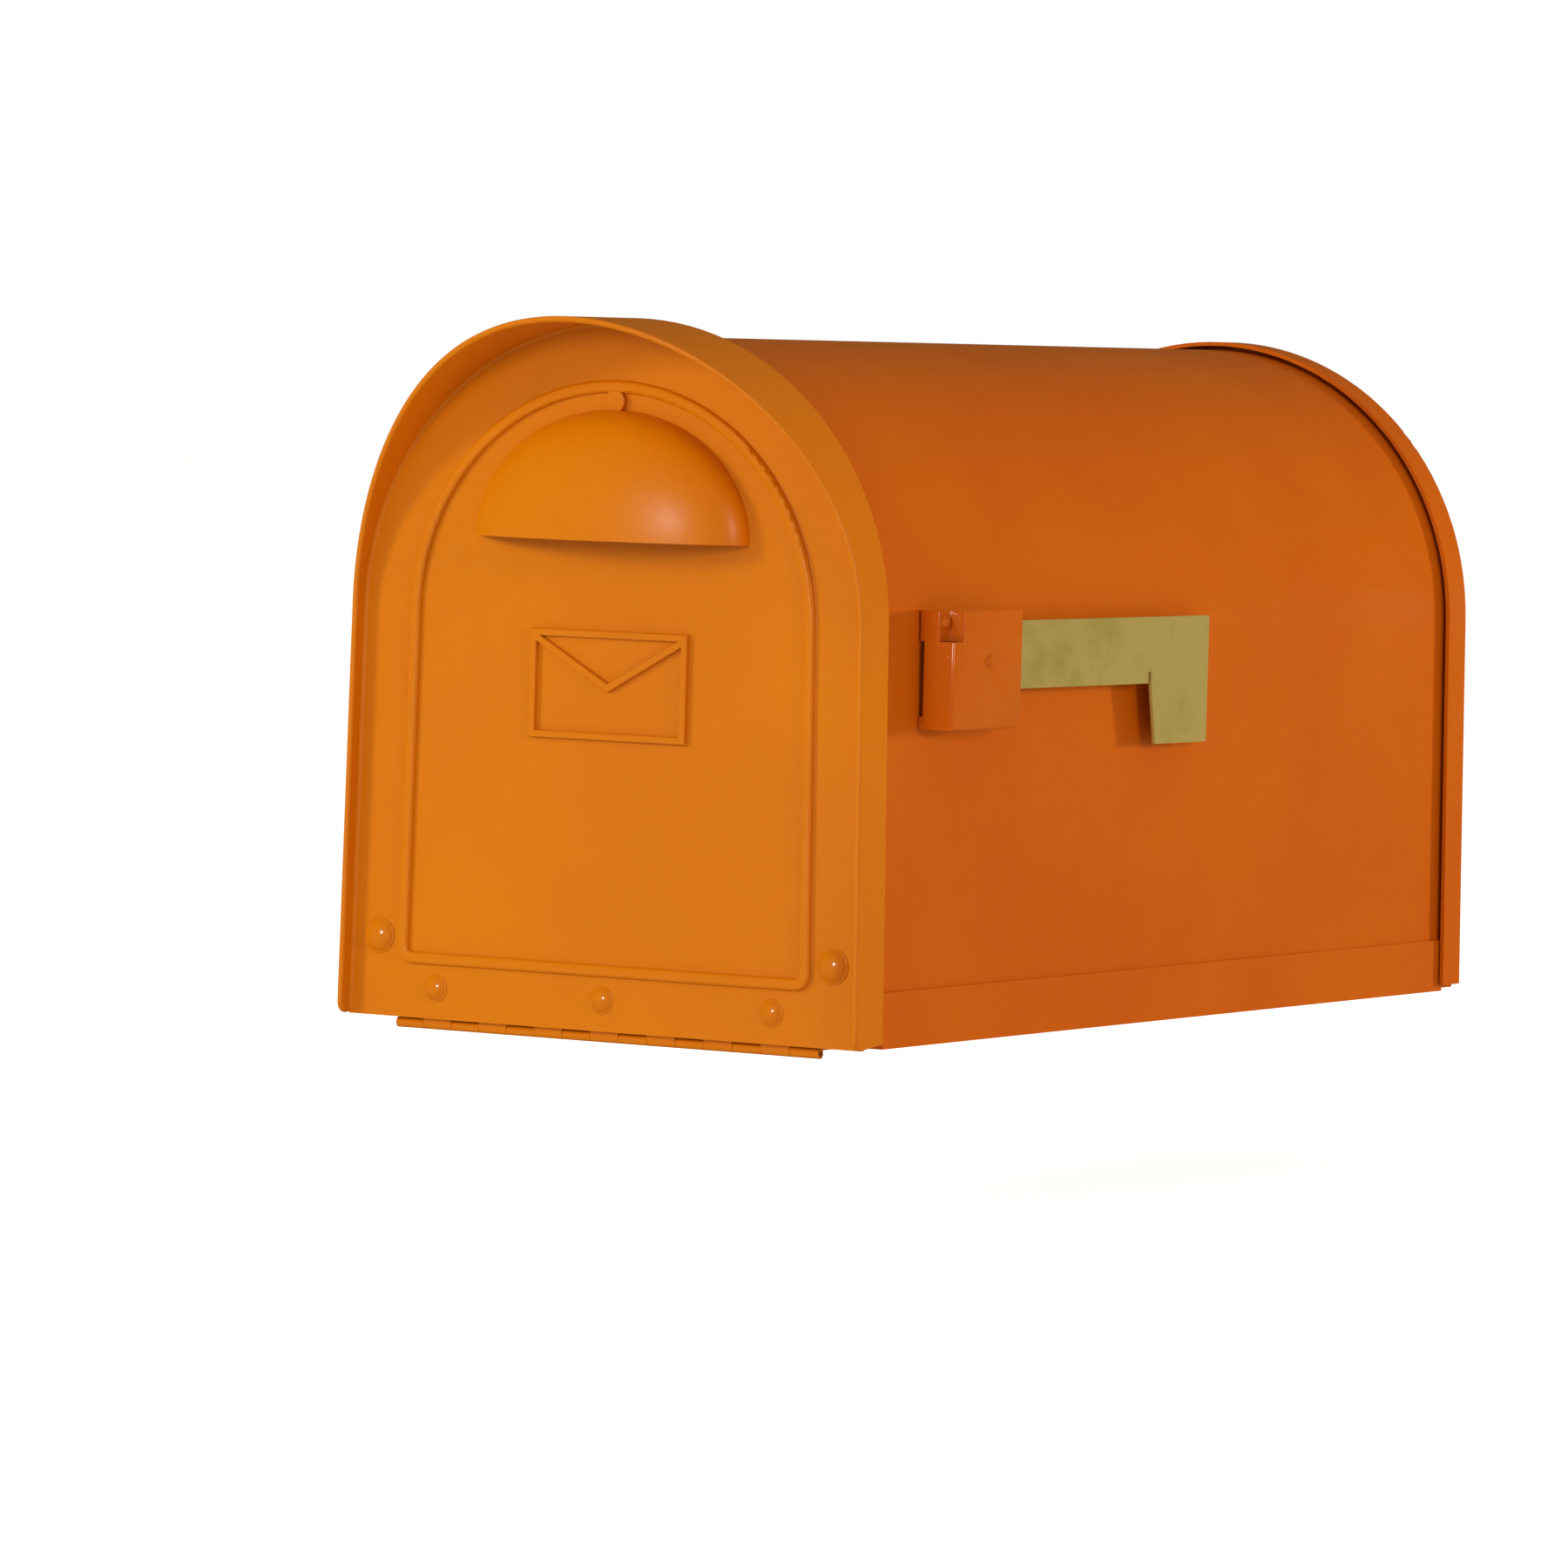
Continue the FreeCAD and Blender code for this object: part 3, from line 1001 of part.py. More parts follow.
def make_flag_pivot():
    """Bolt, nut, bush, spacers and spring washer on the flag's pivot."""
    at = ("dims.pivot_y", "dims.pivot_z")
    inside = "(dims.tube_radius - dims.sheet + (dims.tube_spring - dims.pivot_z)" \
             " * tan(dims.draft * 1 deg))"
    shank = rod_x("pivot_shank", "dims.pivot_radius",
                  f"dims.bracket_face - {inside} + {THREAD_INSIDE}",
                  (f"{inside} - {THREAD_INSIDE}", *at))
    dome = domed_head("pivot_head_dome", *PIVOT_HEAD)
    head = turned_copy("pivot_head", dome, ("dims.bracket_face", *at), (0, 1, 0), 90)
    nodes["flag_pivot_bolt"] = fuse("flag_pivot_bolt", [shank, head])
    nut = hex_nut("flag_pivot_nut", *PIVOT_NUT, "dims.pivot_radius")
    nodes["flag_pivot_nut"] = turned(nut, "flag_pivot_nut", (f"{inside} - dims.stay_gap", *at),
                                     (0, 1, 0), -90)
    flag_in = "(dims.flag_face - dims.flag_thick)"
    bush = [rod_x("bush_body", "dims.pivot_radius + 1.15", "dims.flag_thick + 0.6",
                  (f"{flag_in} - 0.3", *at)),
            rod_x("bush_collar", "dims.collar + dims.stay_gap", 0.8, (f"{flag_in} - 0.8", *at))]
    nodes["flag_bush"] = ring_of("flag_bush", bush, at)
    outside = f"({inside} + dims.sheet + 2 * dims.fit)"
    inner = rod_x("inner_spacer_body", "dims.collar", f"{flag_in} - 0.9 - {outside}",
                  (outside, *at))
    nodes["flag_inner_spacer"] = ring_of("flag_inner_spacer", [inner], at)
    outer = rod_x("outer_spacer_body", "dims.collar",
                  "dims.bracket_face - dims.bracket_wall - dims.flag_face - 1.3",
                  ("dims.flag_face + 1.25", *at))
    nodes["flag_outer_spacer"] = ring_of("flag_outer_spacer", [outer], at)
    washer = rod_x("washer_body", "dims.collar + 1.4", 0.8, ("dims.flag_face + 0.4", *at))
    nodes["flag_spring_washer"] = ring_of("flag_spring_washer", [washer], at)


def make_bracket_screw():
    inside = "(dims.tube_radius - dims.sheet)"
    at = (BRACKET_SCREW_Y, BRACKET_SCREW_Z)
    shank = rod_x("bracket_screw_shank", BRACKET_SCREW_R, f"dims.notch_floor - {inside} + 4",
                  (f"{inside} - 4", *at))
    dome = domed_head("bracket_screw_dome", *BRACKET_SCREW_HEAD)
    head = turned_copy("bracket_screw_head", dome, ("dims.notch_floor", *at), (0, 1, 0), 90)
    nodes["bracket_screw"] = fuse("bracket_screw", [shank, head])
    nut = hex_nut("bracket_nut", *BRACKET_NUT, BRACKET_SCREW_R)
    nodes["bracket_nut"] = turned(nut, "bracket_nut", (f"{inside} - 2 * dims.stay_gap", *at),
                                  (0, 1, 0), -90)


# ---------------------------------------------------------------- door casting
def rim_side_profile(sketch):
    """Side view of the rim: upright front, visor curve, and a bottom edge that rises to the rear."""
    reach, depth = val("dims.rim_reach"), val("dims.rim_depth")
    rise, corner = val("dims.rim_rise"), val("dims.rim_corner")
    spring, sweep = val("dims.rim_spring"), val("dims.visor_sweep")
    top = spring + val("dims.half_width") + 5
    slope = math.atan2(rise, depth + reach)
    swing = math.asin((top - spring) / sweep)
    centre = V(-reach - sweep, spring, 0)
    tip = centre + V(sweep * math.cos(swing), top - spring, 0)
    # the corner arc touches the upright front and the sloping bottom
    middle = V(corner - reach, corner / math.cos(slope) + corner * math.tan(slope), 0)
    under = middle + V(corner * math.sin(slope), -corner * math.cos(slope), 0)
    side = V(-reach, middle.y, 0)
    heel = V(depth, under.y + (depth - under.x) * math.tan(slope), 0)
    sketch.addGeometry([
        Part.LineSegment(under, heel),
        Part.LineSegment(heel, V(depth, top, 0)),
        Part.LineSegment(V(depth, top, 0), tip),
        Part.ArcOfCircle(Part.Circle(centre, V(0, 0, 1), sweep), 0, swing),
        Part.LineSegment(V(-reach, spring, 0), side),
        Part.ArcOfCircle(Part.Circle(middle, V(0, 0, 1), corner), math.pi, 1.5 * math.pi + slope),
    ], False)
    sketch.addConstraint([
        C("Coincident", 0, 2, 1, 1), C("Coincident", 1, 2, 2, 1), C("Coincident", 2, 2, 3, 2),
        C("Tangent", 3, 1, 4, 1), C("Tangent", 4, 2, 5, 1), C("Tangent", 5, 2, 0, 1),
        C("Vertical", 1), C("Horizontal", 2), C("Vertical", 4),
    ])
    dimension(sketch, "sweep", C("Radius", 3, sweep), "dims.visor_sweep")
    dimension(sketch, "corner", C("Radius", 5, corner), "dims.rim_corner")
    dimension(sketch, "reach", C("DistanceX", 4, 1, -1, 1, reach), "dims.rim_reach")
    dimension(sketch, "depth", C("DistanceX", -1, 1, 1, 1, depth), "dims.rim_depth")
    dimension(sketch, "spring", C("DistanceY", -1, 1, 3, 3, spring), "dims.rim_spring")
    dimension(sketch, "top", C("DistanceY", -1, 1, 2, 1, top), "dims.rim_spring + dims.half_width + 5")
    dimension(sketch, "heel", C("DistanceY", -1, 1, 0, 2, heel.y), heel.y)


def make_rim():
    """Arched band, trimmed to its side view."""
    body = new_body("rim_arch", y=f"dims.door_face - {VISOR}")
    outer = sketch_in(body, "XZ_Plane", "rim_outer")
    arch(outer, "dims.half_width", "dims.rim_spring", 0)
    pad(body, outer, f"dims.rim_depth + {VISOR}")
    inner = sketch_in(body, "XZ_Plane", "rim_inner")
    arch(inner, "dims.half_width - dims.rim_wall", "dims.rim_spring", 0)
    cutter = body.newObject("PartDesign::Pocket", "rim_inner_pocket")
    cutter.Profile = inner
    cutter.Type = "ThroughAll"
    cutter.Midplane = True
    side = new_body("rim_side", y="dims.door_face")
    profile = sketch_in(side, "YZ_Plane", "rim_profile")
    rim_side_profile(profile)
    slab = side.newObject("PartDesign::Pad", "rim_slab")
    slab.Profile = profile
    bind(slab, Length="3 * dims.half_width")
    slab.Midplane = True
    band = common("rim_blank", body, side)
    front = val("dims.door_face - dims.rim_reach") + 0.01
    rear = val("dims.door_face + dims.rim_depth") - 0.01
    corner = front + val("dims.rim_corner") + OVER

    def front_edge(box_of):
        return box_of.YMin < front and box_of.YMax < corner and box_of.ZLength > OVER

    def rear_edge(box_of):
        return box_of.YMin > rear and box_of.ZLength > OVER

    return rounded("rim_rounded", band, [
        (val("dims.rim_round"), front_edge), (val("dims.cast_round"), rear_edge)])


def make_bead():
    """Raised bead: a ring between two arches with rounded lower corners and a rounded crest."""
    rings = []
    for name, sign, other in (("bead_outside", "+", "-"), ("bead_inside", "-", "+")):
        body = new_body(name, y="dims.door_face - dims.bead_height")
        shape = sketch_in(body, "XZ_Plane", name + "_arch")
        arch(shape, f"dims.bead_radius {sign} dims.bead_width / 2", "dims.rim_spring",
             f"dims.bead_bottom {other} dims.bead_width / 2")
        pad(body, shape, ROOTED)
        floor = val("dims.bead_bottom + dims.bead_width")
        round_edges(body, name + "_corners", BEAD_CORNERS[name],
                    lambda box_of: box_of.YLength > 1 and box_of.ZMax < floor)
        rings.append(body)
    ring = cut("bead_ring", rings[0], [rings[1]])
    return rounded("bead", ring, [(BEAD_CREST, at_crest)])


def at_crest(box_of):
    """True for an edge on the front of the door's relief."""
    return box_of.YMax < val("dims.door_face - dims.bead_height") + 0.01


def make_emblem():
    """Outline of an envelope in raised lines: a frame and the two edges of its flap."""
    body = new_body("emblem", y="dims.door_face - dims.bead_height")
    frame = sketch_in(body, "XZ_Plane", "emblem_frame")
    low = "dims.emblem_middle - dims.emblem_height / 2"
    rectangle(frame, "-dims.emblem_width / 2", low, "dims.emblem_width", "dims.emblem_height")
    line = "dims.emblem_line"
    rectangle(frame, f"{line} - dims.emblem_width / 2", f"{low} + {line}",
              f"dims.emblem_width - 2 * {line}", f"dims.emblem_height - 2 * {line}")
    pad(body, frame, ROOTED)
    half, thick = val("dims.emblem_width") / 2, val(line)
    top = val("dims.emblem_middle + dims.emblem_height / 2")
    flap = sketch_in(body, "XZ_Plane", "emblem_flap")
    dip = top - val("dims.emblem_height") * FLAP_DIP
    path = [V(-half + 0.5, top - 0.5, 0), V(0, dip + thick * 1.2, 0), V(half - 0.5, top - 0.5, 0),
            V(half - 0.5, top - thick * 1.3, 0), V(0, dip, 0), V(-half + 0.5, top - thick * 1.3, 0)]
    for here, there in zip(path, path[1:] + path[:1]):
        flap.addGeometry(Part.LineSegment(here, there), False)
    flap.addConstraint([C("Coincident", n, 2, (n + 1) % 6, 1) for n in range(6)])
    pad(body, flap, ROOTED)
    round_edges(body, "emblem_crest", "dims.cast_round", at_crest)
    return body


def make_scoop():
    """Half dome, open below, with a level lip for the fingers."""
    shells = []
    for name, less in (("scoop_outside", "0"), ("scoop_inside", "dims.scoop_wall")):
        dome = doc.addObject("Part::Ellipsoid", name)
        bind(dome, Radius1=f"dims.scoop_rise - {less}", Radius2=f"dims.scoop_half - {less}",
             Radius3=f"dims.scoop_bulge - {less}")
        place(dome, 0, "dims.door_face", "dims.lip_height")
        shells.append(dome)
    keep = box("scoop_keep", (f"-dims.scoop_half - {OVER}", f"dims.door_face - dims.scoop_bulge - {OVER}",
                              "dims.lip_height"),
               (f"2 * dims.scoop_half + 2 * {OVER}", f"dims.scoop_bulge + {OVER} + {SCOOP_ROOT}",
                f"dims.scoop_rise + {OVER}"))
    return common("scoop", cut("scoop_shell", shells[0], [shells[1]]), keep)


def make_door():
    plate = new_body("door_plate", y="dims.door_face")
    outline = sketch_in(plate, "XZ_Plane", "plate_outline")
    arch(outline, f"dims.half_width - dims.rim_wall + {SCOOP_ROOT}", "dims.rim_spring",
         "dims.door_lift")
    pad(plate, outline, "dims.plate_thick")
    boss = rod_y("boss", "dims.boss_radius", ROOTED,
                 (0, "dims.door_face - dims.bead_height", "dims.boss_height"))
    boss = rounded("boss_rounded", boss, [(val("dims.cast_round"), at_crest)])
    casting = fuse("door_casting_blank",
                   [make_rim(), plate, make_bead(), make_emblem(), make_scoop()])
    face = val("dims.door_face")
    bead_half = val("dims.bead_radius")
    plate_half = val("dims.half_width - dims.rim_wall") - OVER

    def beside_bead(box_of):
        """True for the outer foot of the bead on the plate."""
        on_plate = box_of.YMin > face - 0.01 and box_of.YMax < face + 0.01
        half = max(abs(box_of.XMin), abs(box_of.XMax))
        straight_foot = box_of.ZLength < 0.01 and half > bead_half - 2 * val("dims.bead_width")
        outside = half > bead_half or straight_foot and box_of.ZMax < val("dims.bead_bottom")
        return on_plate and outside and half < plate_half

    coved = rounded("door_coved", casting, [(val("dims.cast_round"), beside_bead)])
    blank = fuse("door_blank", [coved, boss])
    holes = [rod_y(f"door_{name}_hole{n}", radius, f"dims.plate_thick + 2 * {OVER}",
                   (x, f"dims.door_face - {OVER}", height))
             for name, places, height, radius, *_ in DOOR_BOLTS for n, x in enumerate(places)]
    holes.append(rod_y("latch_screw_hole", LATCH_SCREW_R, LATCH_SCREW_LENGTH,
                       (0, "dims.door_face + dims.plate_thick"
                        f" + {STRIP} - {LATCH_SCREW_LENGTH}", "dims.boss_height")))
    nodes["door_casting"] = cut("door_casting", blank, holes)


# ---------------------------------------------------------------- build, check and write
nodes["shell_tube"] = make_shell()
nodes["floor_pan"] = make_pan()
nodes["rear_cap"] = make_cap()
make_hinge()
make_floor_fasteners()
make_door()
make_door_bolts()
make_stay_lug()
make_stay()
make_guide_bracket()
make_latch()
make_bracket()
make_bracket_screw()
make_flag()
make_flag_pivot()
doc.recompute()

faults = [f"{thing.Label}: {thing.State}" for thing in doc.Objects
          if "Invalid" in thing.State or "Error" in thing.State]
for name, thing in nodes.items():
    thing.Label = name
    if thing.Shape.isNull() or not thing.Shape.isValid():
        faults.append(f"{name}: no valid shape")
if faults:
    raise RuntimeError("; ".join(faults))

os.makedirs("parts", exist_ok=True)
for name, thing in nodes.items():
    thing.Shape.exportStep(f"parts/{name}.step")
    print(f"{name}: {len(thing.Shape.Solids)} solid(s), {thing.Shape.Volume / 1000:.2f} cm3")
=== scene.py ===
import json
import math

import bmesh
import bpy
from mathutils import Matrix, Vector


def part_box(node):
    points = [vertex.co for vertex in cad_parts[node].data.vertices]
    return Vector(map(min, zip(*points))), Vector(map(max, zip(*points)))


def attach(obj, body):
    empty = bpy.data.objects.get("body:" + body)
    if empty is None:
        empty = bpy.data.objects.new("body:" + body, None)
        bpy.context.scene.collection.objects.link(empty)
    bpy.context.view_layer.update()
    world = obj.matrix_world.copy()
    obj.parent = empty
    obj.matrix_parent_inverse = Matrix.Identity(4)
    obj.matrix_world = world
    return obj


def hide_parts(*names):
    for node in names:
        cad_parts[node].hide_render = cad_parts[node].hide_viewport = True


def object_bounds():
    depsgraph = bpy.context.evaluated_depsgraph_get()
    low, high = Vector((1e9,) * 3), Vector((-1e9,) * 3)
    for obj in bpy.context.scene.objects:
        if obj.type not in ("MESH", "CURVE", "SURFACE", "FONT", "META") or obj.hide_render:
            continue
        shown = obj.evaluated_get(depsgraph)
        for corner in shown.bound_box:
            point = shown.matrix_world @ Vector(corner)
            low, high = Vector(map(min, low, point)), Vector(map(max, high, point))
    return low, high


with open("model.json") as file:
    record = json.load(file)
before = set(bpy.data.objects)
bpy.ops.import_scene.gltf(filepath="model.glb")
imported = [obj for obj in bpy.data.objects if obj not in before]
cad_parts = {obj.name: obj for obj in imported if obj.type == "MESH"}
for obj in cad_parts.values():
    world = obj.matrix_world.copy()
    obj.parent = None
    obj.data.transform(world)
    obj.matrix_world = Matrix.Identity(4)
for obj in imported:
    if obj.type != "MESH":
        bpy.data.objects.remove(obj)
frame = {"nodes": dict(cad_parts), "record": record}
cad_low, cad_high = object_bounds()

# ---------------------------------------------------------------- camera
CAMERA_PLACE = Vector((2.0436, -3.4780, 0.3012))
CAMERA_TARGET = Vector((-0.0257, -0.0797, 0.0981))
CAMERA_ROLL = 0.0278
CAMERA_LENS = 208.2
SENSOR = 36.0
CLIP_END = 50


def facing(place, target):
    """Matrix of a camera or light that stands at place and looks at target."""
    turn = (Vector(target) - Vector(place)).to_track_quat("-Z", "Y").to_matrix().to_4x4()
    return Matrix.Translation(place) @ turn


def make_camera():
    data = bpy.data.cameras.new("front_right")
    data.lens = CAMERA_LENS
    data.sensor_width = SENSOR
    data.clip_end = CLIP_END
    camera = bpy.data.objects.new("front_right", data)
    roll = Matrix.Rotation(CAMERA_ROLL, 4, "Z")
    camera.matrix_world = facing(CAMERA_PLACE, CAMERA_TARGET) @ roll
    bpy.context.scene.collection.objects.link(camera)
    bpy.context.scene.camera = camera


# ---------------------------------------------------------------- shader groups
def new_group(name, inputs, outputs):
    """Shader group with (name, kind, default) inputs and (name, kind) outputs."""
    group = bpy.data.node_groups.new(name, "ShaderNodeTree")
    for label, kind, default in inputs:
        socket = group.interface.new_socket(label, in_out="INPUT", socket_type=kind)
        socket.default_value = default
    for label, kind in outputs:
        group.interface.new_socket(label, in_out="OUTPUT", socket_type=kind)
    return group, group.nodes.new("NodeGroupInput"), group.nodes.new("NodeGroupOutput")


def noise(tree, vector, scale, detail=2.0, roughness=0.5):
    node = tree.nodes.new("ShaderNodeTexNoise")
    node.inputs["Detail"].default_value = detail
    node.inputs["Roughness"].default_value = roughness
    tree.links.new(vector, node.inputs["Vector"])
    if isinstance(scale, (int, float)):
        node.inputs["Scale"].default_value = scale
    else:
        tree.links.new(scale, node.inputs["Scale"])
    return node.outputs["Fac"]


def math_node(tree, operation, first, second, clamp=False):
    node = tree.nodes.new("ShaderNodeMath")
    node.operation = operation
    node.use_clamp = clamp
    for socket, value in zip(node.inputs, (first, second)):
        if isinstance(value, (int, float)):
            socket.default_value = value
        else:
            tree.links.new(value, socket)
    return node.outputs[0]


def stretch(tree, value, low, high):
    """Brings value from the range low to high onto 0 to 1, with clamped ends."""
    node = tree.nodes.new("ShaderNodeMapRange")
    node.interpolation_type = "SMOOTHSTEP"
    node.inputs["From Min"].default_value = low
    node.inputs["From Max"].default_value = high
    tree.links.new(value, node.inputs["Value"])
    return node.outputs["Result"]


# The mix node has one set of sockets for each kind of value. These are the colour's.
MIX_FIRST, MIX_SECOND, MIX_RESULT = 6, 7, 2


def mix_colour(tree, share, first, second):
    node = tree.nodes.new("ShaderNodeMix")
    node.data_type = "RGBA"
    tree.links.new(share, node.inputs["Factor"])
    for socket, value in ((node.inputs[MIX_FIRST], first), (node.inputs[MIX_SECOND], second)):
        if isinstance(value, tuple):
            socket.default_value = value
        else:
            tree.links.new(value, socket)
    return node.outputs[MIX_RESULT]


def orange_peel_group():
    """Slow ripple and fine grain of a thick sprayed coat, as a height from 0 to 1."""
    group, given, out = new_group(
        "orange peel",
        [("Vector", "NodeSocketVector", (0, 0, 0)), ("Ripple Scale", "NodeSocketFloat", 180.0),
         ("Grain Scale", "NodeSocketFloat", 900.0), ("Grain Share", "NodeSocketFloat", 0.25)],
        [("Height", "NodeSocketFloat")])
    ripple = noise(group, given.outputs["Vector"], given.outputs["Ripple Scale"], detail=1.5)
    grain = noise(group, given.outputs["Vector"], given.outputs["Grain Scale"], detail=1.0)
    grain = math_node(group, "MULTIPLY", grain, given.outputs["Grain Share"])
    height = math_node(group, "ADD", ripple, grain)
    group.links.new(height, out.inputs["Height"])
    return group


SPECKLE_SHARE = 0.5
DRIFT_RANGE = (0.32, 0.68)     # of the noise, from thin coat to thick


def coat_depth_group():
    """Slow drift of a colour where the coat lies thicker or thinner, with fine speckle."""
    group, given, out = new_group(
        "coat depth",
        [("Vector", "NodeSocketVector", (0, 0, 0)), ("Thin", "NodeSocketColor", (1, 1, 1, 1)),
         ("Thick", "NodeSocketColor", (1, 1, 1, 1)), ("Drift Scale", "NodeSocketFloat", 9.0),
         ("Speckle Scale", "NodeSocketFloat", 1400.0)],
        [("Color", "NodeSocketColor"), ("Mask", "NodeSocketFloat")])
    drift = noise(group, given.outputs["Vector"], given.outputs["Drift Scale"], detail=3.0)
    speckle = noise(group, given.outputs["Vector"], given.outputs["Speckle Scale"], detail=1.0)
    speckle = math_node(group, "MULTIPLY", math_node(group, "SUBTRACT", speckle, 0.5),
                        SPECKLE_SHARE)
    share = math_node(group, "ADD", stretch(group, drift, *DRIFT_RANGE), speckle, clamp=True)
    colour = mix_colour(group, share, given.outputs["Thin"], given.outputs["Thick"])
    group.links.new(colour, out.inputs["Color"])
    group.links.new(share, out.inputs["Mask"])
    return group


STAIN_GAIN = 3.0               # how sharply a stain sets in
LINE_STRETCH = (1.0, 0.04, 1.0)
METAL_ROUGHNESS = 0.30
STAIN_ROUGHNESS = 0.16
LINE_ROUGHNESS = 0.16


def tarnish_group():
    """Cloudy stains and fine rolling lines of bare sheet."""
    group, given, out = new_group(
        "tarnish",
        [("Vector", "NodeSocketVector", (0, 0, 0)), ("Bright", "NodeSocketColor", (1, 1, 1, 1)),
         ("Stained", "NodeSocketColor", (1, 1, 1, 1)), ("Cloud Scale", "NodeSocketFloat", 30.0),
         ("Line Scale", "NodeSocketFloat", 700.0), ("Stain Start", "NodeSocketFloat", 0.35)],
        [("Color", "NodeSocketColor"), ("Roughness", "NodeSocketFloat"),
         ("Height", "NodeSocketFloat")])
    cloud = noise(group, given.outputs["Vector"], given.outputs["Cloud Scale"], detail=4.0,
                  roughness=0.6)
    rise = math_node(group, "SUBTRACT", cloud, given.outputs["Stain Start"])
    share = math_node(group, "MULTIPLY", rise, STAIN_GAIN, clamp=True)
    stretched = group.nodes.new("ShaderNodeMapping")
    stretched.inputs["Scale"].default_value = LINE_STRETCH
    group.links.new(given.outputs["Vector"], stretched.inputs["Vector"])
    lines = noise(group, stretched.outputs["Vector"], given.outputs["Line Scale"], detail=2.0)
    colour = mix_colour(group, share, given.outputs["Bright"], given.outputs["Stained"])
    rough = math_node(group, "ADD", math_node(group, "MULTIPLY", share, STAIN_ROUGHNESS),
                      math_node(group, "MULTIPLY", lines, LINE_ROUGHNESS))
    rough = math_node(group, "ADD", rough, METAL_ROUGHNESS)
    group.links.new(colour, out.inputs["Color"])
    group.links.new(rough, out.inputs["Roughness"])
    group.links.new(lines, out.inputs["Height"])
    return group


PEEL = orange_peel_group()
COAT = coat_depth_group()
TARNISH = tarnish_group()


# ---------------------------------------------------------------- materials
def new_material(name):
    """Empty material with its shader and the object's own coordinates."""
    material = bpy.data.materials.new(name)
    material.use_nodes = True
    tree = material.node_tree
    shader = tree.nodes["Principled BSDF"]
    where = tree.nodes.new("ShaderNodeTexCoord").outputs["Object"]
    return material, tree, shader, where


def place_group(tree, group, where, **values):
    node = tree.nodes.new("ShaderNodeGroup")
    node.node_tree = group
    tree.links.new(where, node.inputs["Vector"])
    for label, value in values.items():
        node.inputs[label.replace("_", " ")].default_value = value
    return node


def bump(tree, shader, height, distance):
    node = tree.nodes.new("ShaderNodeBump")
    node.inputs["Distance"].default_value = distance
    node.inputs["Strength"].default_value = 1.0
    tree.links.new(height, node.inputs["Height"])
    tree.links.new(node.outputs["Normal"], shader.inputs["Normal"])


ENAMEL_ROUGHNESS = 0.33        # under the clear coat, where the enamel is thin
THICK_ROUGHNESS = 0.06         # added where it is thick
ENAMEL_SPECULAR = 0.2


def enamel(name, ripple, depth, thin, thick, coat_weight=0.45, coat_roughness=0.14):
    """Glossy orange enamel. ripple is the peel's scale per metre and depth its height."""
    material, tree, shader, where = new_material(name)
    coat = place_group(tree, COAT, where, Thin=thin, Thick=thick)
    tree.links.new(coat.outputs["Color"], shader.inputs["Base Color"])
    rough = math_node(tree, "MULTIPLY", coat.outputs["Mask"], THICK_ROUGHNESS)
    rough = math_node(tree, "ADD", rough, ENAMEL_ROUGHNESS)
    tree.links.new(rough, shader.inputs["Roughness"])
    shader.inputs["Specular IOR Level"].default_value = ENAMEL_SPECULAR
    shader.inputs["Coat Weight"].default_value = coat_weight
    shader.inputs["Coat Roughness"].default_value = coat_roughness
    peel = place_group(tree, PEEL, where, Ripple_Scale=ripple)
    bump(tree, shader, peel.outputs["Height"], depth)
    return material


def bare_metal(name, bright, stained, cloud=30.0, start=0.35, metallic=1.0, depth=0.00002):
    material, tree, shader, where = new_material(name)
    skin = place_group(tree, TARNISH, where, Bright=bright, Stained=stained, Cloud_Scale=cloud,
                       Stain_Start=start)
    tree.links.new(skin.outputs["Color"], shader.inputs["Base Color"])
    tree.links.new(skin.outputs["Roughness"], shader.inputs["Roughness"])
    shader.inputs["Metallic"].default_value = metallic
    bump(tree, shader, skin.outputs["Height"], depth)
    return material


def fade_stain(look, near, far, start, end):
    """Makes a metal's stains fade out along Y, as their threshold goes from start to end."""
    tree = FINISHES[look].node_tree
    skin = next(node for node in tree.nodes if node.type == "GROUP")
    place = tree.nodes.new("ShaderNodeSeparateXYZ")
    tree.links.new(skin.inputs["Vector"].links[0].from_socket, place.inputs["Vector"])
    along = stretch(tree, place.outputs["Y"], near, far)
    rise = math_node(tree, "MULTIPLY", along, end - start)
    tree.links.new(math_node(tree, "ADD", rise, start), skin.inputs["Stain Start"])


NYLON_THIN = (0.62, 0.60, 0.54, 1)
NYLON_THICK = (0.50, 0.48, 0.42, 1)
NYLON_ROUGHNESS = 0.45
NYLON_SUBSURFACE = 0.1


def nylon(name):
    material, tree, shader, where = new_material(name)
    coat = place_group(tree, COAT, where, Thin=NYLON_THIN, Thick=NYLON_THICK)
    tree.links.new(coat.outputs["Color"], shader.inputs["Base Color"])
    shader.inputs["Roughness"].default_value = NYLON_ROUGHNESS
    shader.inputs["Subsurface Weight"].default_value = NYLON_SUBSURFACE
    return material


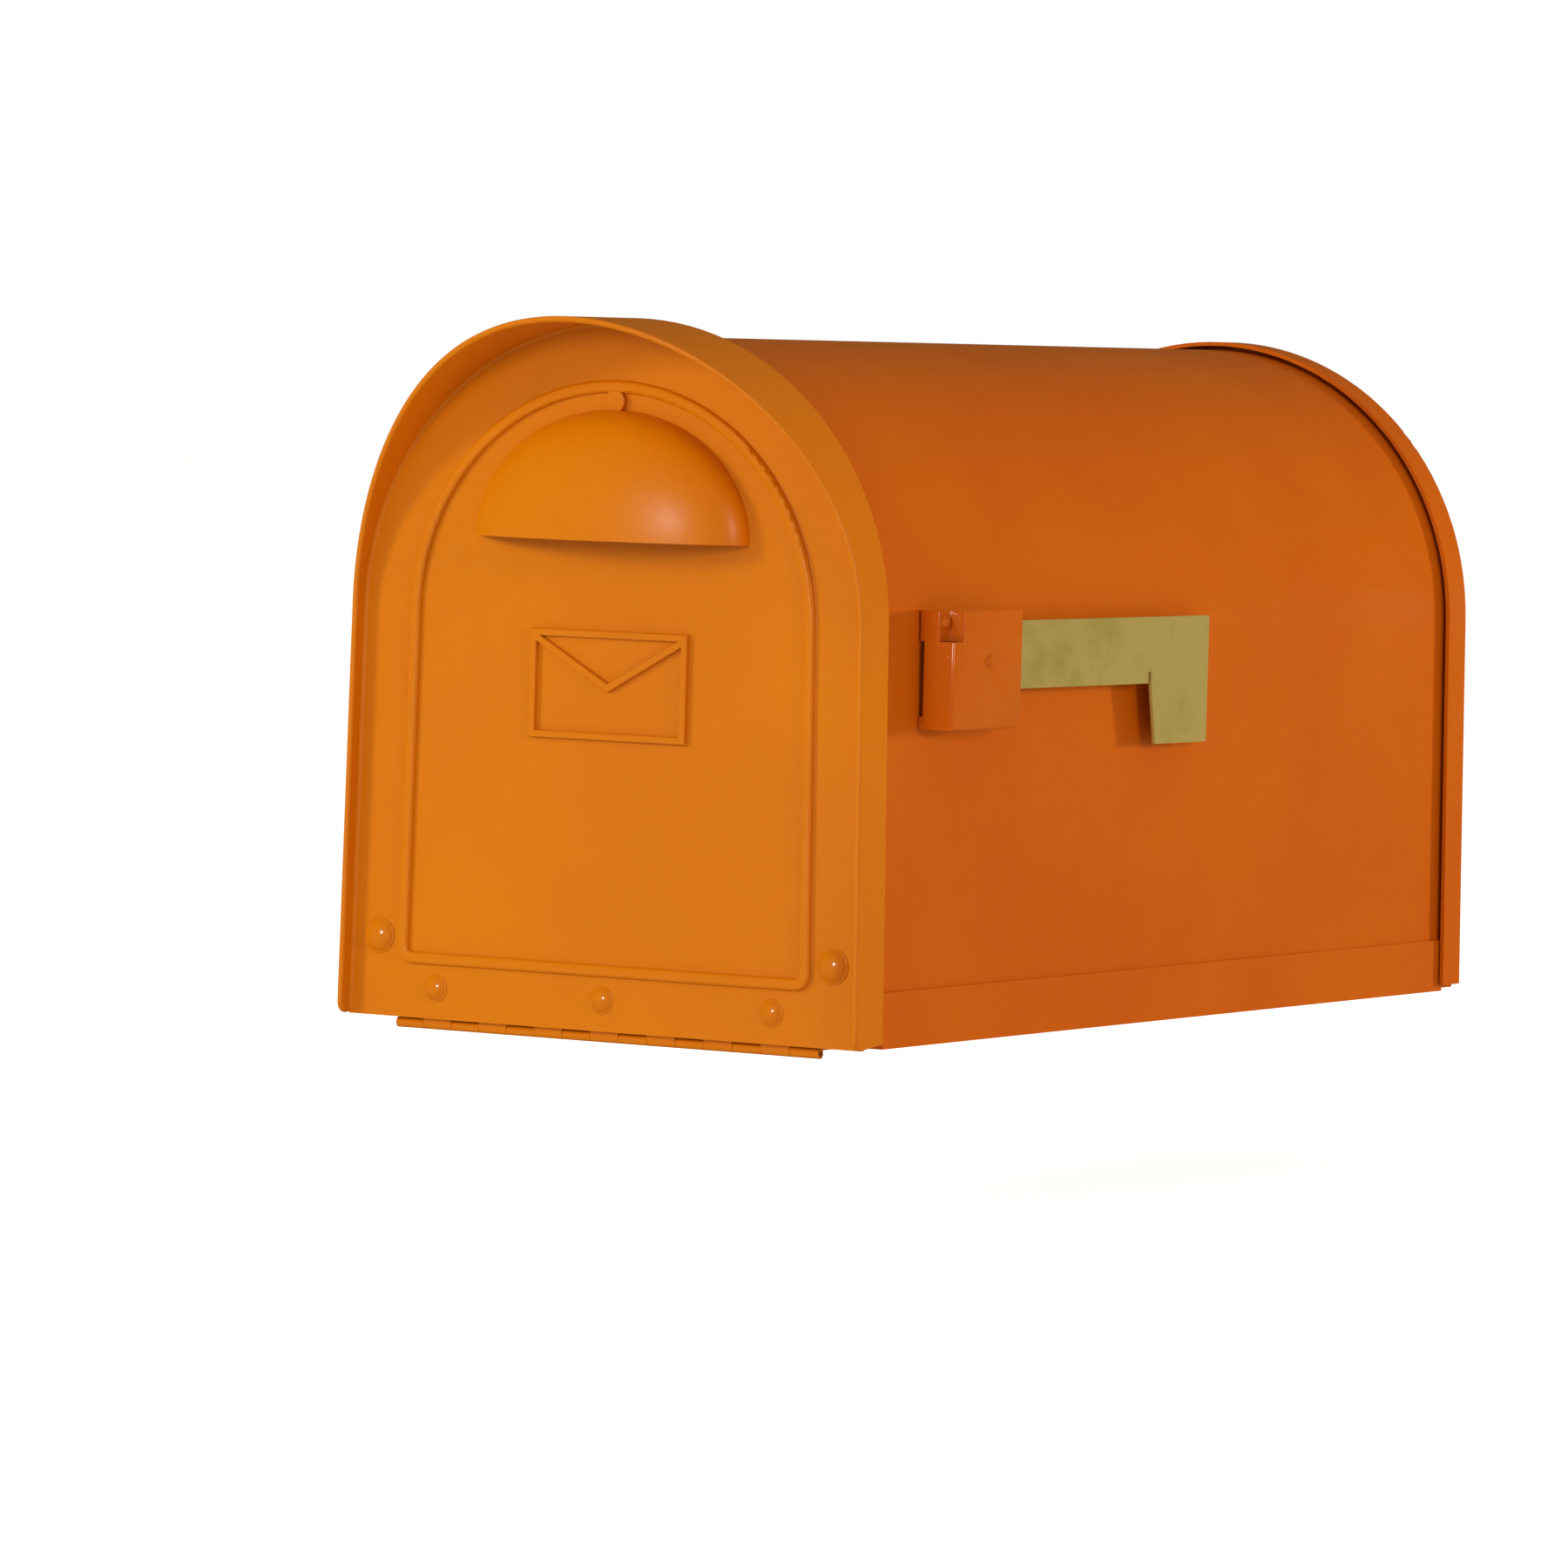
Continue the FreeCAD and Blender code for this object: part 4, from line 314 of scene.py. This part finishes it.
ORANGE_THIN = (0.700, 0.198, 0.0005, 1)
ORANGE_THICK = (0.660, 0.178, 0.0004, 1)
# The sheet's orange is darker and redder than the door's: painted shade, matched to how the
# side faces look in their light.
SHADED_SHEET_THIN = (0.630, 0.128, 0.0005, 1)
SHADED_SHEET_THICK = (0.600, 0.112, 0.0004, 1)
FINE_PEEL = 520.0
FINISHES = {
    "cast enamel": enamel("cast enamel", 260.0, 0.00012, ORANGE_THIN, ORANGE_THICK,
                          coat_weight=0.20, coat_roughness=0.28),
    "bolt enamel": enamel("bolt enamel", FINE_PEEL, 0.00004, ORANGE_THIN, ORANGE_THICK,
                          coat_weight=1.0, coat_roughness=0.08),
    "screw enamel": enamel("screw enamel", FINE_PEEL, 0.00004, SHADED_SHEET_THIN, SHADED_SHEET_THICK,
                           coat_weight=1.0, coat_roughness=0.06),
    # the painted shade of the side faces is in this enamel's colours
    "sheet enamel with painted shade": enamel("sheet enamel with painted shade", 150.0, 0.00006, SHADED_SHEET_THIN, SHADED_SHEET_THICK,
                           coat_weight=0.25),
    "thick enamel": enamel("thick enamel", FINE_PEEL, 0.00012, SHADED_SHEET_THIN, SHADED_SHEET_THICK),
    "dull brass": bare_metal("dull brass", (0.60, 0.49, 0.150, 1), (0.42, 0.38, 0.070, 1),
                             cloud=42.0, start=0.42, metallic=0.35, depth=0.000003),
    "zinc plate": bare_metal("zinc plate", (0.62, 0.63, 0.64, 1), (0.45, 0.44, 0.40, 1)),
    "spring steel": bare_metal("spring steel", (0.42, 0.42, 0.43, 1), (0.22, 0.20, 0.19, 1)),
    "natural nylon": nylon("natural nylon"),
}
OWN_FINISH = {
    "cast enamel": ("door_casting", "hinge_body_leaf", "hinge_door_leaf"),
    "bolt enamel": ("hinge_bolts", "corner_bolts"),
    "screw enamel": ("flag_pivot_bolt", "bracket_screw"),
    "thick enamel": ("pan_rivets", "hinge_leaf_rivets", "rear_cap_screws",
                     "guide_bracket_rivets", "catch_rivets"),
}
BY_SLOT = {"orange_paint": "sheet enamel with painted shade", "flag_brass": "dull brass",
           "zinc_steel": "zinc plate", "spring_steel": "spring steel", "nylon": "natural nylon"}


def finish_nodes():
    """Every CAD node gets its own finish, or else the one of its material slot."""
    slots = {row["node"]: row["material_slot"] for row in frame["record"]["subparts"]}
    own = {name: look for look, names in OWN_FINISH.items() for name in names}
    for name, thing in frame["nodes"].items():
        look = own.get(name, BY_SLOT[slots[name]])
        thing.data.materials.clear()
        thing.data.materials.append(FINISHES[look])


# ---------------------------------------------------------------- pieces
MERGE_DIST = 1e-6
FLAT_ANGLE = math.radians(0.5)     # faces that meet flatter than this become one
CORNER_ANGLE = math.radians(35)    # edges sharper than this are rounded
CORNER_STEPS = 3
FACING = -0.999                    # a normal whose Y is below this looks straight forward
LEAN = math.radians(0.89)          # of the straight sides, outward towards the foot
RIM_WALL = 0.0025
COVE_R = 0.0014
COVE_SINK = 0.0004                 # how deep the cove's back lies in the plate and the rim
COVE_FOOT = 0.002                  # how far above the door's lower edge the cove ends
COVE_STEPS = 8
COVE_SHARP = math.radians(30)
ARCH_STEPS = 96


def add_piece(name, mesh, look, body):
    """A visible piece of the given finish, which moves with the given body."""
    piece = bpy.data.objects.new(name, mesh)
    bpy.context.scene.collection.objects.link(piece)
    mesh.materials.clear()
    mesh.materials.append(FINISHES[look])
    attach(piece, body)
    return piece


def joined_form(node):
    """Editable form of a CAD node with its loose triangles joined."""
    form = bmesh.new()
    form.from_mesh(frame["nodes"][node].data)
    bmesh.ops.remove_doubles(form, verts=form.verts, dist=MERGE_DIST)
    return form


def mesh_of(form, name):
    mesh = bpy.data.meshes.new(name)
    form.to_mesh(mesh)
    form.free()
    return mesh


def merged_copy(node):
    """Mesh of a CAD node with its loose triangles joined and its flat faces made whole."""
    form = joined_form(node)
    bmesh.ops.dissolve_limit(form, angle_limit=FLAT_ANGLE, verts=form.verts, edges=form.edges)
    return mesh_of(form, node)


# Painted glints: bright specks mixed into the base colour for the sparkle of the thick coat.
GLINT_SCALE = 420.0
GLINT_EDGE = (0.14, 0.06)          # distance from a cell's middle, from no painted glint to a full one
GLINT_CHOICE = 0.80                # only the cells above this hold a painted glint
GLINT_STRENGTH = 0.6
GLINT_COLOUR = (1.0, 0.72, 0.42, 1)
GLINTED_COAT = 0.9
GLINTED_COAT_ROUGHNESS = 0.10


def speckle(name, look):
    """A copy of an enamel with fine bright specks in its colour: painted glints for the sparkle
    of the thick coat.
    """
    material = FINISHES[look].copy()
    material.name = name
    tree = material.node_tree
    shader = tree.nodes["Principled BSDF"]
    cells = tree.nodes.new("ShaderNodeTexVoronoi")
    cells.inputs["Scale"].default_value = GLINT_SCALE
    tree.links.new(tree.nodes.new("ShaderNodeTexCoord").outputs["Object"],
                   cells.inputs["Vector"])
    dot = stretch(tree, cells.outputs["Distance"], *GLINT_EDGE)
    parted = tree.nodes.new("ShaderNodeSeparateColor")
    tree.links.new(cells.outputs["Color"], parted.inputs["Color"])
    chosen = math_node(tree, "GREATER_THAN", parted.outputs["Red"], GLINT_CHOICE)
    share = math_node(tree, "MULTIPLY", math_node(tree, "MULTIPLY", dot, chosen),
                      GLINT_STRENGTH)
    colour = shader.inputs["Base Color"].links[0].from_socket
    # the painted glints go into the base colour here
    mixed = mix_colour(tree, share, colour, GLINT_COLOUR)
    tree.links.new(mixed, shader.inputs["Base Color"])
    shader.inputs["Coat Weight"].default_value = GLINTED_COAT
    shader.inputs["Coat Roughness"].default_value = GLINTED_COAT_ROUGHNESS
    FINISHES[name] = material


def soften(node, name, look, body, width):
    """Stands in for a CAD node with its corners rounded by the thickness of its finish."""
    mesh = merged_copy(node)
    piece = add_piece(name, mesh, look, body)
    bevel = piece.modifiers.new("soft corners", "BEVEL")
    bevel.width = width
    bevel.segments = CORNER_STEPS
    bevel.limit_method = "ANGLE"
    bevel.angle_limit = CORNER_ANGLE
    bevel.harden_normals = True
    mesh.shade_smooth()
    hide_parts(node)


def plate_face():
    """Where the door's plate faces forward: the Y with the most area that looks that way."""
    areas = {}
    for face in frame["nodes"]["door_casting"].data.polygons:
        if face.normal.y < FACING:
            place = round(face.center.y, 5)
            areas[place] = areas.get(place, 0) + face.area
    return max(areas, key=areas.get)


def rim_arch():
    """Radius and centre height of the arch inside the rim, from the door's own box."""
    low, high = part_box("door_casting")
    outer = (high.x - (high.z - low.z) * math.tan(LEAN)) / (1 / math.cos(LEAN) - math.tan(LEAN))
    return outer - RIM_WALL, high.z - outer


def cove_path(foot):
    """Points on the rim's inner wall and their directions inward, from foot over the arch."""
    radius, centre = rim_arch()
    turns = [LEAN + (math.pi - 2 * LEAN) * i / ARCH_STEPS for i in range(ARCH_STEPS + 1)]
    path = [(Vector((radius * math.cos(t), 0, centre + radius * math.sin(t))),
             Vector((-math.cos(t), 0, -math.sin(t)))) for t in turns]
    for end in (0, -1):
        point, inward = path[end]
        drop = (point.z - foot) / math.cos(LEAN)
        along = Vector((math.copysign(math.sin(LEAN), point.x), 0, -math.cos(LEAN)))
        step = (point + along * drop, inward)
        path = [step] + path if end == 0 else path + [step]
    return path


def cove_profile():
    """The cove's outline: how far in from the rim's wall, and how far out from the plate."""
    turns = [math.pi / 2 * i / COVE_STEPS for i in range(COVE_STEPS + 1)]
    hollow = [(COVE_R * (1 - math.sin(t)), COVE_R * (1 - math.cos(t))) for t in turns]
    back = [(-COVE_SINK, -COVE_SINK), (COVE_R, -COVE_SINK)]
    return back + hollow + [(-COVE_SINK, COVE_R)]


def rim_cove():
    """Enamel that has gathered in the corner between the door's plate and its rim."""
    form = bmesh.new()
    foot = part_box("door_casting")[0].z + COVE_FOOT
    face = plate_face()
    profile = cove_profile()
    rings = []
    for point, inward in cove_path(foot):
        ring = []
        for across, out in profile:
            place = point + inward * across
            ring.append(form.verts.new((place.x, face - out, place.z)))
        rings.append(ring)
    for near, far in zip(rings, rings[1:]):
        for i in range(len(near)):
            j = (i + 1) % len(near)
            form.faces.new((near[i], near[j], far[j], far[i]))
    form.faces.new(rings[0])
    form.faces.new(reversed(rings[-1]))
    bmesh.ops.recalc_face_normals(form, faces=form.faces)
    mesh = mesh_of(form, "rim_cove")
    mesh.shade_smooth()
    mesh.set_sharp_from_angle(angle=COVE_SHARP)
    add_piece("rim_cove", mesh, "cast enamel", "door")


def solids_of(node):
    """Low and high corner of each separate solid of a CAD node."""
    form = joined_form(node)
    left = set(form.verts)
    boxes = []
    while left:
        front = [left.pop()]
        reached = list(front)
        while front:
            for edge in front.pop().link_edges:
                for corner in edge.verts:
                    if corner in left:
                        left.remove(corner)
                        front.append(corner)
                        reached.append(corner)
        boxes.append((Vector([min(v.co[i] for v in reached) for i in range(3)]),
                      Vector([max(v.co[i] for v in reached) for i in range(3)])))
    form.free()
    return sorted(boxes, key=lambda box: tuple(box[0]))


def node_group(name, inputs):
    """Geometry Nodes tree with the given extra inputs. Returns tree, input and output."""
    tree = bpy.data.node_groups.new(name, "GeometryNodeTree")
    tree.interface.new_socket("Geometry", in_out="INPUT", socket_type="NodeSocketGeometry")
    for label, kind in inputs:
        tree.interface.new_socket(label, in_out="INPUT", socket_type=kind)
    tree.interface.new_socket("Geometry", in_out="OUTPUT", socket_type="NodeSocketGeometry")
    return tree, tree.nodes.new("NodeGroupInput"), tree.nodes.new("NodeGroupOutput")


def lay_on_points(tree, given, out, shape, turn):
    """Puts shape, turned, on every point given and makes it one mesh of the given material."""
    place = tree.nodes.new("GeometryNodeInstanceOnPoints")
    place.inputs["Rotation"].default_value = turn
    realize = tree.nodes.new("GeometryNodeRealizeInstances")
    paint = tree.nodes.new("GeometryNodeSetMaterial")
    tree.links.new(given.outputs["Geometry"], place.inputs["Points"])
    tree.links.new(shape, place.inputs["Instance"])
    tree.links.new(place.outputs["Instances"], realize.inputs["Geometry"])
    tree.links.new(realize.outputs["Geometry"], paint.inputs["Geometry"])
    tree.links.new(given.outputs["Material"], paint.inputs["Material"])
    tree.links.new(paint.outputs["Geometry"], out.inputs["Geometry"])


def swept(tree, path, radius, corners):
    """Round wire of the given radius along a path."""
    section = tree.nodes.new("GeometryNodeCurvePrimitiveCircle")
    section.inputs["Resolution"].default_value = corners
    tree.links.new(radius, section.inputs["Radius"])
    sweep = tree.nodes.new("GeometryNodeCurveToMesh")
    sweep.inputs["Fill Caps"].default_value = True
    tree.links.new(path, sweep.inputs["Curve"])
    tree.links.new(section.outputs["Curve"], sweep.inputs["Profile Curve"])
    return sweep.outputs["Mesh"]


RING_STEPS = 40
BEAD_CORNERS = 10
TURN_STEPS = 24
CREST_CORNERS = 4


def paint_ring_tree():
    """A ring of gathered enamel round every point."""
    tree, given, out = node_group("paint rings", [
        ("Ring Radius", "NodeSocketFloat"), ("Bead Radius", "NodeSocketFloat"),
        ("Material", "NodeSocketMaterial")])
    path = tree.nodes.new("GeometryNodeCurvePrimitiveCircle")
    path.inputs["Resolution"].default_value = RING_STEPS
    tree.links.new(given.outputs["Ring Radius"], path.inputs["Radius"])
    ring = swept(tree, path.outputs["Curve"], given.outputs["Bead Radius"],
                 BEAD_CORNERS)
    lay_on_points(tree, given, out, ring, (math.pi / 2, 0, 0))
    return tree


def thread_tree():
    """Turns of a screw thread up from every point."""
    tree, given, out = node_group("thread turns", [
        ("Shank Radius", "NodeSocketFloat"), ("Crest Radius", "NodeSocketFloat"),
        ("Turns", "NodeSocketFloat"), ("Length", "NodeSocketFloat"),
        ("Material", "NodeSocketMaterial")])
    path = tree.nodes.new("GeometryNodeCurveSpiral")
    path.inputs["Resolution"].default_value = TURN_STEPS
    tree.links.new(given.outputs["Turns"], path.inputs["Rotations"])
    tree.links.new(given.outputs["Shank Radius"], path.inputs["Start Radius"])
    tree.links.new(given.outputs["Shank Radius"], path.inputs["End Radius"])
    tree.links.new(given.outputs["Length"], path.inputs["Height"])
    turns = swept(tree, path.outputs["Curve"], given.outputs["Crest Radius"],
                  CREST_CORNERS)
    lay_on_points(tree, given, out, turns, (-math.pi / 2, 0, 0))
    return tree


def made_by(tree, name, points, look, body, **values):
    """One plain mesh that the tree makes on the given points."""
    seed = bpy.data.meshes.new(name + " points")
    seed.from_pydata(points, [], [])
    maker = bpy.data.objects.new(name + " maker", seed)
    bpy.context.scene.collection.objects.link(maker)
    modifier = maker.modifiers.new("maker", "NODES")
    modifier.node_group = tree
    values["Material"] = FINISHES[look]
    for socket in tree.interface.items_tree:
        if socket.in_out == "INPUT" and socket.name.replace(" ", "_") in values:
            modifier[socket.identifier] = values[socket.name.replace(" ", "_")]
    depsgraph = bpy.context.evaluated_depsgraph_get()
    mesh = bpy.data.meshes.new_from_object(maker.evaluated_get(depsgraph))
    bpy.data.objects.remove(maker)
    bpy.data.meshes.remove(seed)
    mesh.name = name
    mesh.shade_smooth()
    add_piece(name, mesh, look, body)


RING_BEAD = 0.00055
THREAD_CREST = 0.00022
THREAD_PITCH = 0.0008
BOLT_REACH = 0.01                  # corners closer than this to a bolt's middle belong to it


def shank_radius(node, middle, nut_end):
    """Radius of the bolt's end where it stands out of its nut."""
    return max(math.hypot(corner.co.x - middle.x, corner.co.z - middle.z)
               for corner in frame["nodes"][node].data.vertices
               if corner.co.y > nut_end and abs(corner.co.x - middle.x) < BOLT_REACH)


def rings_and_threads():
    """Gathered enamel round the door's domed heads, and threads past the nuts behind them."""
    rings, threads = paint_ring_tree(), thread_tree()
    face = plate_face()
    for bolts, nuts in (("hinge_bolts", "hinge_bolt_nuts"),
                        ("corner_bolts", "corner_bolt_nuts")):
        heads = solids_of(bolts)
        radius = (heads[0][1].x - heads[0][0].x) / 2
        middles = [(low + high) / 2 for low, high in heads]
        made_by(rings, bolts + "_paint", [(m.x, face, m.z) for m in middles],
                "cast enamel", "door", Ring_Radius=radius - RING_BEAD / 2,
                Bead_Radius=RING_BEAD)
        nut_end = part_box(nuts)[1].y
        length = heads[0][1].y - nut_end - THREAD_CREST
        made_by(threads, bolts + "_thread", [(m.x, nut_end, m.z) for m in middles],
                "zinc plate", "door", Crest_Radius=THREAD_CREST,
                Shank_Radius=shank_radius(bolts, middles[0], nut_end),
                Turns=length / THREAD_PITCH, Length=length)


# ---------------------------------------------------------------- floor, world and lights
FLOOR_SIZE = 30.0
DOOR_SWING = 0.075                 # room below the body for the open door
FLOOR_DARK = (0.90, 0.90, 0.90, 1)
FLOOR_PALE = (0.94, 0.94, 0.94, 1)
FLOOR_GRAIN = 3.0
FLOOR_ROUGHNESS = 0.9
FLOOR_GLOW = 0.75                  # for the camera only
WORLD_LIGHT = 0.36
WORLD_WHITE = (1, 1, 1, 1)
WORLD_DIFFUSE = (1, 0.86, 0.76, 1)
WORLD_GLOSS = (1, 0.58, 0.20, 1)
GLOSS_LIGHT = 0.05
GLOSS_BEHIND = 0.12                # added behind the object
BEHIND_RANGE = (0.3, 1.0)          # of the heading's Y, from nothing added to all of it
# name, place, size, power, colour, and whether glossy surfaces mirror it
LIGHTS = (
    ("key", (0.15, -3.9, 0.9), (0.7, 0.7), 36, (1.0, 1.0, 1.0), True),
    ("right", (3.2, -1.2, 1.0), (0.6, 0.6), 24, (1.0, 0.80, 0.62), True),
    ("left", (-2.6, -2.6, 1.1), (0.6, 0.6), 52, (0.97, 1.0, 1.0), False),
    ("behind", (1.75, 3.4, 0.35), (0.25, 0.35), 95, (1.0, 1.0, 0.9), False),
    ("top", (0.3, 0.2, 2.6), (2.4, 2.4), 9, (1.0, 1.0, 1.0), False),
)


def see_through_from_below(tree, shader):
    """Lets a camera below the floor look through its back face."""
    below = tree.nodes.new("ShaderNodeNewGeometry").outputs["Backfacing"]
    both = tree.nodes.new("ShaderNodeMixShader")
    tree.links.new(below, both.inputs["Fac"])
    tree.links.new(shader.outputs["BSDF"], both.inputs[1])
    tree.links.new(tree.nodes.new("ShaderNodeBsdfTransparent").outputs["BSDF"], both.inputs[2])
    tree.links.new(both.outputs["Shader"], tree.nodes["Material Output"].inputs["Surface"])


def make_floor():
    mesh = bpy.data.meshes.new("floor")
    low = cad_low.z - DOOR_SWING
    half = FLOOR_SIZE / 2
    mesh.from_pydata([(-half, -half, low), (half, -half, low), (half, half, low),
                      (-half, half, low)], [], [(0, 1, 2, 3)])
    floor = bpy.data.objects.new("floor", mesh)
    bpy.context.scene.collection.objects.link(floor)
    material, tree, shader, where = new_material("pale floor")
    grain = noise(tree, where, FLOOR_GRAIN)
    colour = mix_colour(tree, grain, FLOOR_DARK, FLOOR_PALE)
    tree.links.new(colour, shader.inputs["Base Color"])
    shader.inputs["Roughness"].default_value = FLOOR_ROUGHNESS
    seen = tree.nodes.new("ShaderNodeLightPath").outputs["Is Camera Ray"]
    lit = math_node(tree, "MULTIPLY", seen, FLOOR_GLOW)
    shader.inputs["Emission Color"].default_value = (1, 1, 1, 1)
    tree.links.new(lit, shader.inputs["Emission Strength"])
    mesh.materials.append(material)
    see_through_from_below(tree, shader)
    floor.visible_glossy = False


def area_light(name, place, target, size, power, colour, mirrored):
    data = bpy.data.lights.new(name, "AREA")
    data.shape = "RECTANGLE"
    data.size, data.size_y = size
    data.energy = power
    data.color = colour
    light = bpy.data.objects.new(name, data)
    light.matrix_world = facing(place, target)
    light.visible_glossy = mirrored
    bpy.context.scene.collection.objects.link(light)


def make_world():
    """White backdrop. Gloss sees it dim and warm, and brighter behind the object."""
    world = bpy.data.worlds.new("studio")
    world.use_nodes = True
    tree = world.node_tree
    back = tree.nodes["Background"]
    ray = tree.nodes.new("ShaderNodeLightPath")
    tint = mix_colour(tree, ray.outputs["Is Glossy Ray"], WORLD_WHITE, WORLD_GLOSS)
    tint = mix_colour(tree, ray.outputs["Is Diffuse Ray"], tint, WORLD_DIFFUSE)
    tree.links.new(tint, back.inputs["Color"])
    heading = tree.nodes.new("ShaderNodeSeparateXYZ")
    tree.links.new(tree.nodes.new("ShaderNodeTexCoord").outputs["Generated"],
                   heading.inputs["Vector"])
    behind = math_node(tree, "MULTIPLY",
                       stretch(tree, heading.outputs["Y"], *BEHIND_RANGE), GLOSS_BEHIND)
    gloss = math_node(tree, "ADD", behind, GLOSS_LIGHT)
    gloss = math_node(tree, "MULTIPLY", gloss, ray.outputs["Is Glossy Ray"])
    diffuse = math_node(tree, "MULTIPLY", ray.outputs["Is Diffuse Ray"], WORLD_LIGHT)
    total = math_node(tree, "ADD", math_node(tree, "ADD", gloss, ray.outputs["Is Camera Ray"]),
                      diffuse)
    tree.links.new(total, back.inputs["Strength"])
    bpy.context.scene.world = world


def make_lights():
    middle = (cad_low + cad_high) / 2
    for name, place, size, power, colour, mirrored in LIGHTS:
        area_light(name, place, middle, size, power, colour, mirrored)


make_camera()
finish_nodes()
speckle("enamel with painted glints", "thick enamel")
fade_stain("dull brass", near=-0.17, far=0.0, start=0.30, end=0.60)
soften("flag_bracket", "soft_bracket", "enamel with painted glints", "housing", width=0.0012)
soften("flag_plate", "soft_flag", "dull brass", "flag", width=0.00025)
rim_cove()
rings_and_threads()
make_floor()
make_world()
make_lights()
bpy.context.scene.view_settings.view_transform = "Standard"
